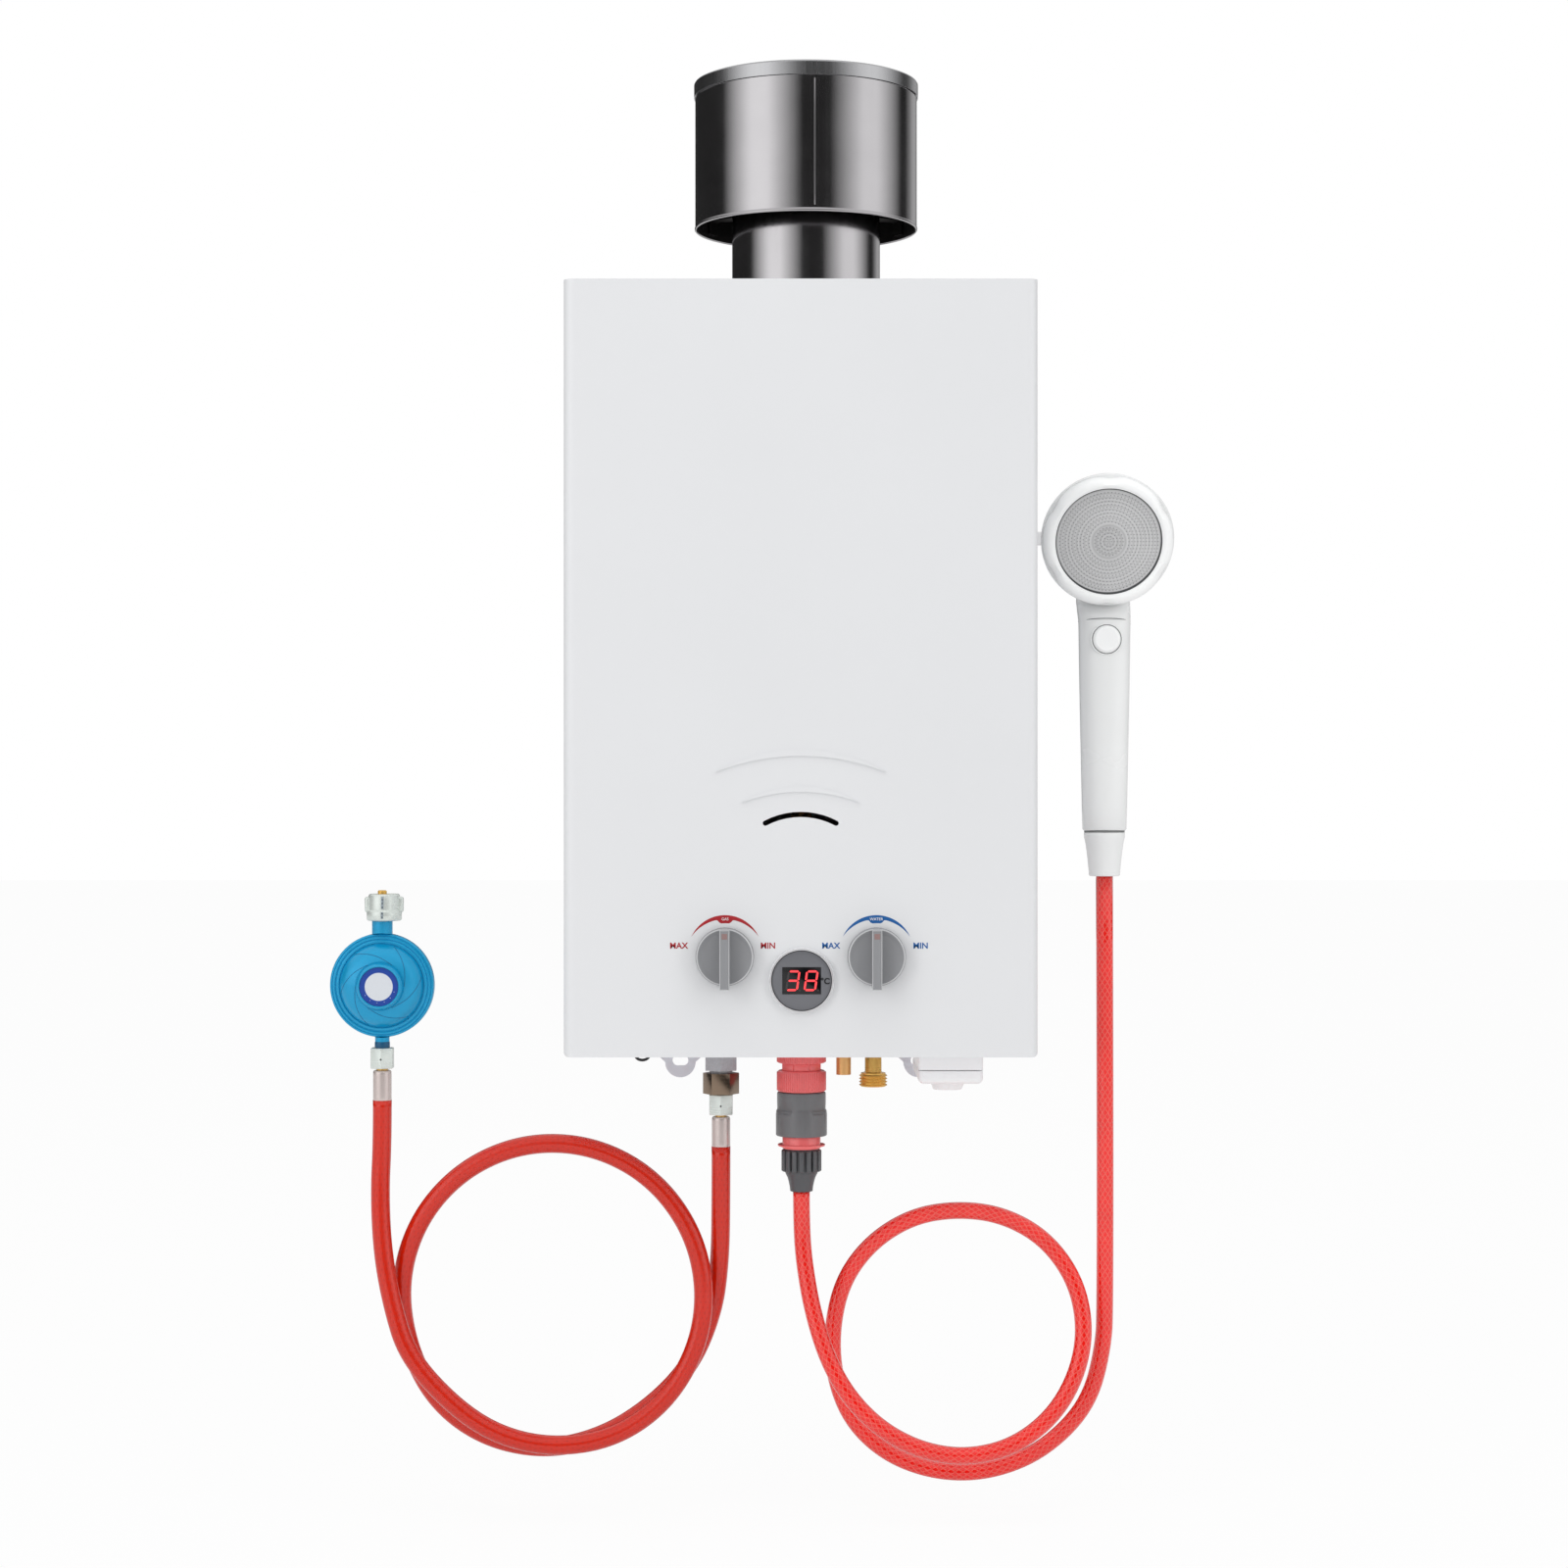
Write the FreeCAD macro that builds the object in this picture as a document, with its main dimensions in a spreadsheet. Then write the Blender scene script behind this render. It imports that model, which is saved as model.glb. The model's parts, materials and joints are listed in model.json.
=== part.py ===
import FreeCAD, Part
import math
import os
import re

import Sketcher

# Wall-hung outdoor gas water heater with its shower line and gas line.
# The origin is the middle of the rear panel's back face, on the wall: +Z up, front towards -Y.

DIMENSIONS = {
    # Case, of sheet steel
    "case_width": 270.0,
    "case_height": 442.5,
    "case_depth": 140.0,
    "skin": 1.0,
    "front_round": 6.0,
    "corner_round": 2.8,
    "fit_gap": 0.5,
    "flange_depth": 12.0,
    "stack_depth": 70.0,
    "lug_spacing": 146.0,
    "lug_half": 9.3,
    "lug_drop": 24.4,
    "lug_flare": 20.0,
    "lug_flare_drop": 7.2,
    "lug_waist": 12.0,
    "lug_waist_drop": 12.6,
    "lug_slot_width": 9.7,
    "lug_slot_height": 6.5,
    "lug_slot_drop": 14.0,
    "keyhole_level": 190.0,
    "keyhole_radius": 5.0,
    "keyhole_neck": 5.0,
    "keyhole_rise": 12.0,
    "screw_level": 180.0,
    "screw_inset": 7.0,
    "screw_head_radius": 3.6,
    "screw_head_height": 1.8,
    "screw_radius": 1.6,
    "screw_length": 8.0,
    # Pressed bands and the viewing slot of the front
    "emboss": 0.9,
    "slot_radius": 43.3,
    "slot_half_angle": 27.6,
    "slot_width": 3.0,
    "slot_top": -83.2,
    "low_band_outer": 65.3,
    "low_band_inner": 95.0,
    "low_band_half": 33.6,
    "low_band_top": -67.2,
    "high_band_outer": 96.3,
    "high_band_inner": 132.0,
    "high_band_half": 48.4,
    "high_band_top": -46.1,
    # Flue and rain cap
    "flue_side": 3.5,
    "flue_radius": 43.6,
    "flue_wall": 0.8,
    "flue_foot": 198.0,
    "flue_top": 288.0,
    "flue_hole_gap": 0.6,
    "skirt_radius": 65.4,
    "skirt_low": 260.7,
    "lid_low": 340.0,
    "lid_radius": 66.1,
    "lid_height": 7.0,
    "lid_rim": 3.0,
    "bead_radius": 0.9,
    "strap_level": 264.0,
    "strap_width": 10.0,
    "strap_tab": 8.0,
    "collar_radius": 51.0,
    "collar_height": 6.0,
    # Knobs and valve stems
    "knob_side": 43.0,
    "knob_level": -163.8,
    "knob_radius": 16.5,
    "knob_base": 8.5,
    "knob_depth": 17.0,
    "knob_bar": 5.6,
    "knob_bar_rise": 15.6,
    "knob_bar_drop": 18.2,
    "knob_gap": 1.0,
    "knob_round": 1.2,
    "stem_radius": 3.0,
    "stem_hole": 5.0,
    "stem_length": 70.0,
    "stem_in_knob": 10.0,
    # Display
    "display_side": 0.5,
    "display_level": -177.5,
    "bezel_radius": 18.6,
    "display_radius": 17.2,
    "bezel_height": 4.0,
    "display_front": 2.6,
    "display_thick": 6.0,
    "window_width": 22.0,
    "window_height": 15.4,
    "window_thick": 1.0,
    "board_radius": 16.0,
    "board_thick": 1.6,
    "board_back": 10.0,
    # Heat exchanger, hood and burner
    "core_width": 168.0,
    "core_depth": 96.0,
    "core_low": 20.0,
    "core_high": 150.0,
    "core_skin": 0.8,
    "fin_low": 112.0,
    "fin_high": 144.0,
    "fin_thick": 0.6,
    "fin_count": 20.0,
    "coil_radius": 6.0,
    "coil_pitch": 26.0,
    "coil_drop": 14.0,
    "coil_bend": 8.0,
    "outlet_bend": -62.0,
    "hood_high": 198.0,
    "burner_low": -28.0,
    "burner_high": 14.0,
    "bar_count": 9.0,
    "bar_thick": 7.0,
    "manifold_radius": 7.0,
    "manifold_level": -42.0,
    "nozzle_radius": 2.2,
    "probe_radius": 1.2,
    # Gas and water sections behind the knobs
    "valve_radius": 15.0,
    "valve_length": 42.0,
    "valve_back": 50.0,
    "chamber_radius": 22.0,
    "chamber_length": 30.0,
    "rod_radius": 2.0,
    "rod_depth": 54.0,
    "rod_rise": 20.0,
    "manifold_depth": 88.0,
    "tube_wall": 0.8,
    # Battery box
    "battery_side": 87.0,
    "battery_box_width": 37.6,
    "battery_box_depth": 76.0,
    "battery_box_wall": 1.2,
    "battery_box_top": -166.0,
    "battery_seam": -231.5,
    "battery_lid_low": -239.6,
    "battery_radius": 16.6,
    "battery_length": 60.0,
    "battery_spacing": 36.0,
    "latch_radius": 11.0,
    "latch_drop": 6.4,
    "latch_stem": 3.0,
    "hinge_pin": 1.2,
    "hinge_set_back": 2.6,
    # Gas inlet, from the bottom of the case down
    "gas_side": -46.7,
    "gas_hex": 18.2,
    "gas_hex_length": 12.6,
    "gas_riser_radius": 7.0,
    "gas_neck_radius": 6.75,
    "gas_neck_length": 1.6,
    "adapter_hex": 18.5,
    "adapter_length": 12.3,
    "swivel_hex": 13.7,
    "swivel_length": 12.2,
    "swivel_bore": 5.1,
    "swivel_neck": 3.7,
    "nipple_radius": 3.35,
    "nipple_head": 4.9,
    "nipple_show": 1.1,
    "ferrule_radius": 5.5,
    "ferrule_length": 17.7,
    # Water outlet and quick connector
    "outlet_side": 0.8,
    "tap_ring_radius": 14.6,
    "tap_neck_radius": 11.3,
    "tap_top_length": 9.2,
    "tap_neck_length": 4.3,
    "tap_collar_length": 12.3,
    "spigot_radius": 8.0,
    "spigot_bore": 5.5,
    "spigot_length": 18.0,
    "sleeve_radius": 14.2,
    "sleeve_foot_radius": 15.1,
    "sleeve_upper": 10.8,
    "sleeve_length": 26.2,
    "sleeve_bore": 11.5,
    "quick_radius": 11.3,
    "quick_inner": 11.2,
    "quick_wing": 14.0,
    "quick_length": 7.5,
    "clamp_radius": 11.8,
    "clamp_length": 13.6,
    "cone_top_radius": 9.9,
    "cone_foot_radius": 6.7,
    "cone_length": 11.5,
    # Cold inlet and relief stub
    "cold_side": 43.2,
    "cold_neck_radius": 4.9,
    "cold_neck_length": 15.2,
    "cold_thread_radius": 8.33,
    "cold_thread_length": 8.0,
    "cold_bore": 3.6,
    "relief_side": 25.7,
    "relief_radius": 4.35,
    "relief_drop": 16.2,
    "wire_side": -93.2,
    "wire_loop": 4.1,
    "wire_radius": 0.6,
    "wire_drop": 4.0,
    # Handset, its nut and its holder
    "handset_side": 180.0,
    "handset_depth": 68.0,
    "head_level": 81.5,
    "head_tilt": 13.0,
    "head_radius": 39.0,
    "head_back_radius": 26.0,
    "head_thick": 20.0,
    "head_front": 87.0,
    "ring_radius": 38.2,
    "ring_thick": 9.0,
    "plate_radius": 31.2,
    "plate_thick": 3.0,
    "hub_radius": 9.9,
    "hub_gap": 0.1,
    "hub_length": 7.0,
    "face_gap": 0.3,
    "lobe_radius": 16.0,
    "lobe_reach": 52.4,
    "neck_width": 31.6,
    "neck_thick": 20.0,
    "neck_set_back": 12.0,
    "handle_top": 31.0,
    "handle_foot": -93.4,
    "handle_wide": 30.4,
    "handle_wide_foot": 26.2,
    "handle_thick": 27.0,
    "handle_thick_foot": 24.0,
    "button_level": 19.1,
    "button_radius": 8.2,
    "button_gap": 0.3,
    "button_height": 9.0,
    "button_proud": 1.6,
    "hand_nut_top": -94.3,
    "hand_nut_radius": 12.1,
    "hand_nut_foot_radius": 9.15,
    "hose_top": -120.3,
    "hand_spigot": 8.0,
    "holder_thick": 3.0,
    "holder_plate": 44.0,
    "holder_arm": 8.0,
    "holder_clear": 42.0,
    "peg_radius": 4.0,
    "peg_level": 36.0,
    "peg_length": 20.0,
    # Regulator, its bottle nut and its hose nut
    "reg_side": -246.8,
    "reg_level": -184.7,
    "reg_rim": 30.7,
    "reg_rim_thick": 3.0,
    "reg_dome": 26.0,
    "reg_depth": 14.0,
    "reg_cup": 13.8,
    "reg_cup_height": 3.2,
    "reg_label": 11.3,
    "reg_neck_radius": 6.05,
    "reg_neck_top": -146.9,
    "reg_stub_radius": 4.25,
    "reg_stub_foot": -221.2,
    "bottle_nut_top": -130.8,
    "bottle_nut_radius": 10.3,
    "bottle_nut_wing": 12.6,
    "bottle_nut_bore": 8.0,
    "bottle_thread_depth": 9.5,
    "bottle_tip": -128.7,
    "bottle_tip_radius": 2.65,
    "reg_swivel_hex": 13.0,
    "reg_swivel_length": 12.2,
    "reg_swivel_top": -221.5,
    # Hoses
    "gas_hose_radius": 5.6,
    "shower_hose_radius": 5.0,
}

# Routes of the two hoses, end to end: each goes down, once round its loop and out again
GAS_ROUTE = (
    (-246.8, -70, -252.6), (-246.8, -70, -277.8), (-248.1, -71.5, -306.6), (-246.2, -74, -341.5),
    (-240.2, -77, -372.2), (-230.6, -80, -402.2), (-203.2, -81, -431.8), (-175.9, -81.5, -449.0),
    (-143.9, -81.5, -455.5), (-109.5, -81, -450.1), (-80.4, -80, -430.6), (-61.0, -78.5, -399.9),
    (-55.1, -77, -364.4), (-63.7, -75, -328.0), (-87.7, -73, -297.0), (-122.7, -71, -279.1),
    (-162.2, -69, -277.6), (-198.8, -67, -293.0), (-225.7, -65, -322.3), (-237.9, -63, -360.3),
    (-233.1, -61, -400.0), (-216.0, -60, -433.1), (-187.0, -59.5, -454.4), (-150.4, -59, -461.8),
    (-116.4, -59, -453.5), (-87.5, -59, -435.2), (-64.6, -59.5, -410.9), (-51.4, -61.5, -378.8),
    (-47.4, -66, -348.5), (-46.7, -70, -313.9), (-46.7, -70, -279.95),
)
SHOWER_ROUTE = (
    (0.8, -70, -306.25), (0.8, -70, -326.6), (2.5, -72, -349.3), (7.5, -78, -377.2),
    (16.5, -85, -404.5), (30, -89.5, -426.7), (49.5, -91, -444.8), (73.5, -91, -456.2),
    (99.3, -90, -459.5), (126.4, -88, -452.9), (149.5, -85.5, -435), (163.6, -82.5, -409.7),
    (167.6, -79, -382.8), (161.5, -74, -356.5), (144.7, -67.5, -334.4), (120.9, -60.5, -321.9),
    (94.5, -54, -319.1), (67.2, -50, -324), (42.7, -49, -339.4), (25.7, -49, -362.2),
    (19, -49, -390.9), (20.4, -49, -420.2), (30.9, -49, -446.6), (51.4, -49, -465.9),
    (78.4, -49.5, -476.3), (107.5, -51, -477.2), (136, -54, -467.7), (158.3, -58, -449.9),
    (172.5, -61.5, -429.3), (179, -65, -402.3), (180.9, -68, -375.7), (180, -68, -120.3),
)

TO_FRONT = FreeCAD.Rotation(FreeCAD.Vector(1, 0, 0), 90)
TO_RIGHT = FreeCAD.Rotation(FreeCAD.Vector(0, 1, 0), 90)
UPRIGHT = FreeCAD.Rotation()
HALF_ROOT_3 = 0.8660254

DOC = FreeCAD.newDocument("water_heater")
SHEET = DOC.addObject("Spreadsheet::Sheet", "dims")
NODES = []


def fill_sheet():
    """Puts each driving dimension in a cell of its own, under its name."""
    for row, (alias, number) in enumerate(DIMENSIONS.items(), start=1):
        SHEET.set(f"A{row}", alias)
        SHEET.set(f"B{row}", str(number))
        SHEET.setAlias(f"B{row}", alias)
    DOC.recompute()


def bound(text):
    """The text of an expression, with each dimension's name pointed at the sheet."""
    return re.sub(r"[a-z][a-z_0-9]*", lambda word: f"dims.{word[0]}", str(text))


def size(text):
    """The number that an expression gives with the sheet's present values."""
    names = {name: getattr(SHEET, name) for name in re.findall(r"[a-z][a-z_0-9]*", str(text))}
    if not names:
        return float(SHEET.evalExpression(str(text)))
    return float(SHEET.evalExpression(bound(text)))


def vector(x, y, z):
    return FreeCAD.Vector(size(x), size(y), size(z))


def put(item, place, turn=UPRIGHT):
    """Sets an object down at a place given as three expressions."""
    item.Placement = FreeCAD.Placement(FreeCAD.Vector(), turn)
    for axis, text in zip("xyz", place):
        item.setExpression(f"Placement.Base.{axis}", bound(text))
    return item


def box(name, sizes, corner):
    item = DOC.addObject("Part::Box", name)
    for side, text in zip(("Length", "Width", "Height"), sizes):
        item.setExpression(side, bound(text))
    return put(item, corner)


def rod(name, radius, length, place, turn=UPRIGHT):
    item = DOC.addObject("Part::Cylinder", name)
    item.setExpression("Radius", bound(radius))
    item.setExpression("Height", bound(length))
    return put(item, place, turn)


def hexagon(name, flats, length, place, corner_to_front=True):
    """A six-sided bar on end, with a corner or a flat towards the front."""
    item = DOC.addObject("Part::Prism", name)
    item.Polygon = 6
    item.setExpression("Circumradius", bound(f"({flats}) / 2") + f" / {HALF_ROOT_3}")
    item.setExpression("Height", bound(length))
    spin = 90 if corner_to_front else 0
    return put(item, place, FreeCAD.Rotation(FreeCAD.Vector(0, 0, 1), spin))


def join(name, *parts):
    item = DOC.addObject("Part::MultiFuse", name)
    item.Shapes = list(parts)
    return item


def cut(name, base, *tools):
    item = DOC.addObject("Part::Cut", name)
    item.Base = base
    item.Tool = tools[0] if len(tools) == 1 else join(f"{name}_tools", *tools)
    return item


def rounded(name, base, radius, along, keep=lambda middle: True):
    """Rounds the straight edges that run along one direction."""
    DOC.recompute()
    edges = []
    for number, edge in enumerate(base.Shape.Edges, start=1):
        if edge.Curve.TypeId == "Part::GeomLine" and keep(edge.CenterOfMass):
            if abs(abs(edge.tangentAt(edge.FirstParameter).dot(along)) - 1) < 1e-6:
                edges.append((number, size(radius), size(radius)))
    item = DOC.addObject("Part::Fillet", name)
    item.Base = base
    item.Edges = edges
    return item


def fixed_shape(name, shape):
    """An object that holds a shape made directly from sheet values."""
    item = DOC.addObject("Part::Feature", name)
    item.Shape = shape
    return item


def node(label, item):
    """Keeps an object as one sub-part of the heater."""
    item.Label = label
    NODES.append(item)
    return item


def turned(name, profile, place=(0, 0, 0), turn=UPRIGHT):
    """A body turned from a closed outline of radius and height pairs."""
    body = DOC.addObject("PartDesign::Body", name)
    sketch = body.newObject("Sketcher::SketchObject", f"{name}_outline")
    plane = [face for face in body.Origin.OriginFeatures if face.Role == "XZ_Plane"][0]
    sketch.AttachmentSupport = [(plane, "")]
    sketch.MapMode = "FlatFace"
    corners = [FreeCAD.Vector(size(radius), size(height), 0) for radius, height in profile]
    for start, end in zip(corners, corners[1:] + corners[:1]):
        sketch.addGeometry(Part.LineSegment(start, end), False)
    count = len(corners)
    for number in range(count):
        sketch.addConstraint(Sketcher.Constraint("Coincident", number, 2, (number + 1) % count, 1))
    for number, (corner, (radius, height)) in enumerate(zip(corners, profile)):
        pin_corner(sketch, number, corner.x, radius, "DistanceX", -2)
        pin_corner(sketch, number, corner.y, height, "DistanceY", -1)
    spin = body.newObject("PartDesign::Revolution", f"{name}_turn")
    spin.Profile = sketch
    spin.ReferenceAxis = (sketch, ["V_Axis"])
    spin.Angle = 360
    sketch.Visibility = False
    return put(body, place, turn)


def pin_corner(sketch, number, distance, text, kind, axis):
    """Ties one corner of an outline to an axis, or to its distance from it."""
    if abs(distance) < 1e-9:
        sketch.addConstraint(Sketcher.Constraint("PointOnObject", number, 1, axis))
        return
    index = sketch.addConstraint(Sketcher.Constraint(kind, -1, 1, number, 1, distance))
    sketch.setExpression(f"Constraints[{index}]", bound(text))


def path(points):
    """Straight runs joined by tangent arcs as large as the shorter run allows, with their radii."""
    edges = []
    radii = []
    start = points[0]
    for before, corner, after in zip(points, points[1:], points[2:]):
        back = before - corner
        ahead = after - corner
        turn = math.pi - back.getAngle(ahead)
        reach = 0.45 * min(back.Length, ahead.Length)
        radius = reach / math.tan(turn / 2)
        back.normalize()
        ahead.normalize()
        inward = (back + ahead).normalize()
        middle = corner + inward * (radius / math.cos(turn / 2) - radius)
        enter = corner + back * reach
        leave = corner + ahead * reach
        edges.append(Part.LineSegment(start, enter).toShape())
        edges.append(Part.Arc(enter, middle, leave).toShape())
        radii.append(radius)
        start = leave
    edges.append(Part.LineSegment(start, points[-1]).toShape())
    return Part.Wire(edges), radii


def tube(points, radius):
    """A round bar along a path, checked against its section times its length."""
    spine, radii = path(points)
    ring = Part.Wire([Part.Circle(points[0], points[1] - points[0], radius).toShape()])
    solid = spine.makePipeShell([ring], True, False)
    volume = math.pi * radius**2 * spine.Length
    if abs(solid.Volume / volume - 1) > 0.02:
        raise ValueError("a tube's volume differs from its section times its length")
    return solid, spine.Length, radii


def hose(label, route, radius):
    """A hose along its route, with its length and bend radii printed."""
    solid, length, radii = tube([FreeCAD.Vector(*point) for point in route], size(radius))
    print(label, "length", round(length), "radii", [round(bend) for bend in radii])
    node(label, fixed_shape(label, solid))


def below(level, *lengths):
    """The height that lies the given lengths under a level."""
    return f"({level} - {' - '.join(lengths)})"


BOTTOM = "(0 - case_height / 2)"
TOP = "(case_height / 2)"
FRONT = "(0 - case_depth)"
STACK = "(0 - stack_depth)"
INNER_HALF = "(case_width / 2 - skin)"
Y_AXIS = FreeCAD.Vector(0, 1, 0)
Z_AXIS = FreeCAD.Vector(0, 0, 1)


def viewing_slot():
    """The curved slot through the front, with round ends."""
    radius = size("slot_radius")
    half = size("slot_width / 2")
    angle = math.radians(size("slot_half_angle"))
    centre = vector(0, "0 - case_depth - 2", "slot_top - slot_radius")

    def at(reach, swing):
        return centre + FreeCAD.Vector(reach * math.sin(swing), 0, reach * math.cos(swing))

    def end(swing):
        past = math.copysign(half / radius, swing) + swing
        return at(radius, past)

    outer = Part.Arc(at(radius + half, -angle), at(radius + half, 0), at(radius + half, angle))
    right = Part.Arc(at(radius + half, angle), end(angle), at(radius - half, angle))
    inner = Part.Arc(at(radius - half, angle), at(radius - half, 0), at(radius - half, -angle))
    left = Part.Arc(at(radius - half, -angle), end(-angle), at(radius + half, -angle))
    outline = Part.Wire([arc.toShape() for arc in (outer, right, inner, left)])
    return Part.Face(outline).extrude(FreeCAD.Vector(0, size("skin + 4"), 0))


def pressed_band(name, outer, inner, half, top):
    """A crescent pressed out of the front, thick in the middle and pointed at its ends."""
    drop = math.sqrt(size(outer) ** 2 - size(half) ** 2)
    rise = math.sqrt(size(inner) ** 2 - size(half) ** 2)
    ends = size(top) - size(outer) + drop
    front = size("0 - case_depth - emboss")
    depth = size("emboss + skin / 2")
    left = FreeCAD.Vector(-size(half), front, ends)
    right = FreeCAD.Vector(size(half), front, ends)
    high = FreeCAD.Vector(0, front, size(top))
    under = FreeCAD.Vector(0, front, ends - rise + size(inner))
    outline = Part.Wire([Part.Arc(left, high, right).toShape(), Part.Arc(right, under, left).toShape()])
    return fixed_shape(name, Part.Face(outline).extrude(FreeCAD.Vector(0, depth, 0)))


def front_cover():
    outer = box(
        "cover_block",
        ("case_width", "case_depth - 1.4", "case_height"),
        ("0 - case_width / 2", FRONT, BOTTOM),
    )
    sides = rounded("cover_sides", outer, "front_round", Z_AXIS, lambda middle: middle.y < -100)
    outline = box(
        "cover_outline",
        ("case_width", "case_depth - 1.4", "case_height"),
        ("0 - case_width / 2", FRONT, BOTTOM),
    )
    corners = rounded("cover_corners", outline, "corner_round", Y_AXIS, lambda middle: middle.z < 0)
    outer = DOC.addObject("Part::Common", "cover_outer")
    outer.Base = sides
    outer.Tool = corners
    inner = box(
        "cover_hollow",
        ("case_width - 2 * skin", "case_depth", "case_height"),
        ("0 - case_width / 2 + skin", f"{FRONT} + skin", f"{BOTTOM} - skin"),
    )
    inner = rounded("cover_hollow_sides", inner, "front_round - skin", Z_AXIS, lambda middle: middle.y < -100)
    bands = (
        pressed_band("low_band", "low_band_outer", "low_band_inner", "low_band_half", "low_band_top"),
        pressed_band("high_band", "high_band_outer", "high_band_inner", "high_band_half", "high_band_top"),
    )
    holes = [
        rod("display_hole", "display_radius + 0.2", "10", ("display_side", f"{FRONT} + 5", "display_level"), TO_FRONT),
        rod("flue_hole", "flue_radius + flue_hole_gap", "10", ("flue_side", STACK, f"{TOP} - 5")),
        fixed_shape("slot_tool", viewing_slot()),
    ]
    holes.extend(screw_holes("cover"))
    for side in ("0 - knob_side", "knob_side"):
        holes.append(rod("stem_hole_tool", "stem_hole", "10", (side, f"{FRONT} + 5", "knob_level"), TO_FRONT))
    shell = cut("cover_shell", outer, inner)
    node("front_cover", cut("front_cover", join("cover_with_bands", shell, *bands), *holes))


def rear_panel():
    """The back plate with its side flanges and two slotted lugs, and the bottom plate."""
    half = f"({INNER_HALF} - fit_gap)"
    tall = "case_height - 2 * skin - 1"
    plates = [box("back_plate", (f"2 * {half}", "skin", tall), (f"0 - {half}", "0 - skin", BOTTOM))]
    for number, corner in enumerate((f"0 - {half}", f"{half} - skin")):
        sizes = ("skin", "flange_depth", tall)
        plates.append(box(f"side_flange_{number}", sizes, (corner, "0 - flange_depth", BOTTOM)))
    tools = [
        rod("keyhole_head", "keyhole_radius", "10", (0, "5", "keyhole_level"), TO_FRONT),
        box(
            "keyhole_neck_tool", ("keyhole_neck", "10", "keyhole_rise"),
            ("0 - keyhole_neck / 2", "0 - 5", "keyhole_level"),
        ),
    ]
    for number, side in enumerate(("0 - lug_spacing / 2", "lug_spacing / 2")):
        plates.append(lug(f"lug_{number}", side))
        level = f"{BOTTOM} - lug_slot_drop - lug_slot_height / 2"
        sizes = ("lug_slot_width", "10", "lug_slot_height")
        slot = box(f"lug_slot_block_{number}", sizes, (f"{side} - lug_slot_width / 2", "0 - 5", level))
        tools.append(rounded(f"lug_slot_{number}", slot, "lug_slot_height / 2 - 0.05", Y_AXIS))
    tools.extend(screw_holes("panel"))
    node("rear_panel", cut("rear_panel", join("rear_tray", *plates), *tools))
    bottom_plate(half)


def lug(name, side):
    """A lug with a round end, whose sides flare out where it meets the panel."""
    middle = size(side)
    bottom = size(f"{BOTTOM} - lug_drop")
    reach = size("lug_half")
    round_level = bottom + reach
    waist = FreeCAD.Vector(size("lug_waist"), 0, size(f"{BOTTOM} - lug_waist_drop"))
    flare = FreeCAD.Vector(size("lug_flare"), 0, size(f"{BOTTOM} - lug_flare_drop"))
    top = FreeCAD.Vector(size("lug_flare"), 0, size(f"{BOTTOM} + 6"))

    def at(corner, sign):
        return FreeCAD.Vector(middle + sign * corner.x, 0, corner.z)

    end = FreeCAD.Vector(reach, 0, round_level)
    low = FreeCAD.Vector(middle, 0, bottom)
    outline = Part.Wire([
        Part.Arc(at(end, -1), low, at(end, 1)).toShape(),
        Part.Arc(at(end, 1), at(waist, 1), at(flare, 1)).toShape(),
        Part.LineSegment(at(flare, 1), at(top, 1)).toShape(),
        Part.LineSegment(at(top, 1), at(top, -1)).toShape(),
        Part.LineSegment(at(top, -1), at(flare, -1)).toShape(),
        Part.Arc(at(flare, -1), at(waist, -1), at(end, -1)).toShape(),
    ])
    return fixed_shape(name, Part.Face(outline).extrude(FreeCAD.Vector(0, -size("2 * skin"), 0)))


def bottom_plate(half):
    """The plate that closes the case from below, with a passage for all that comes out of it."""
    wide = f"2 * ({half} - skin)"
    corner = (f"skin - {half}", "skin - case_depth + 1", BOTTOM)
    plate = box("bottom_sheet", (wide, "case_depth - 3 * skin - 1", "skin"), corner)
    plate = rounded("bottom_sheet_round", plate, "front_round", Z_AXIS, lambda middle: middle.y < -100)
    left = "battery_side - battery_box_width / 2 - 0.3"
    back = f"{STACK} - battery_box_depth / 2 - 0.3"
    sizes = ("battery_box_width + 0.6", "battery_box_depth + 0.6", "10")
    tools = [
        hole_down("gas_passage", "gas_side", "gas_neck_radius + 3.2"),
        hole_down("outlet_passage", "outlet_side", "tap_neck_radius"),
        box("water_window", ("37", "24", "10"), ("17.5", f"{STACK} - 12", f"{BOTTOM} - 5")),
        hole_down("wire_passage_left", "wire_side - wire_loop", "wire_radius + 0.3"),
        hole_down("wire_passage_right", "wire_side + wire_loop", "wire_radius + 0.3"),
        box("battery_passage", sizes, (left, back, f"{BOTTOM} - 5")),
    ]
    node("bottom_plate", cut("bottom_plate", plate, *tools))


def screw_holes(name):
    """The holes that the cover screws pass through, from one side to the other."""
    return [
        rod(f"{name}_screw_hole", "screw_radius", "case_width + 20", ("0 - case_width / 2 - 10", "0 - screw_inset", level), TO_RIGHT)
        for level in ("screw_level", "0 - screw_level")
    ]


def hole_down(name, side, radius):
    """A hole through the bottom plate for what passes down through it."""
    return rod(name, radius, "10", (side, STACK, f"{BOTTOM} - 5"))


def cover_screws():
    screws = []
    profile = (
        (0, "0 - screw_length"), ("screw_radius", "0 - screw_length"), ("screw_radius", 0),
        ("screw_head_radius", 0), ("screw_head_radius", "screw_head_height / 2"),
        ("screw_head_radius * 0.6", "screw_head_height"), (0, "screw_head_height"),
    )
    for side, turn in (("case_width / 2", TO_RIGHT), ("0 - case_width / 2", TO_RIGHT.inverted())):
        for level in ("screw_level", "0 - screw_level"):
            screws.append(turned("cover_screw", profile, (side, "0 - screw_inset", level), turn))
    node("cover_screws", join("cover_screws", *screws))


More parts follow.
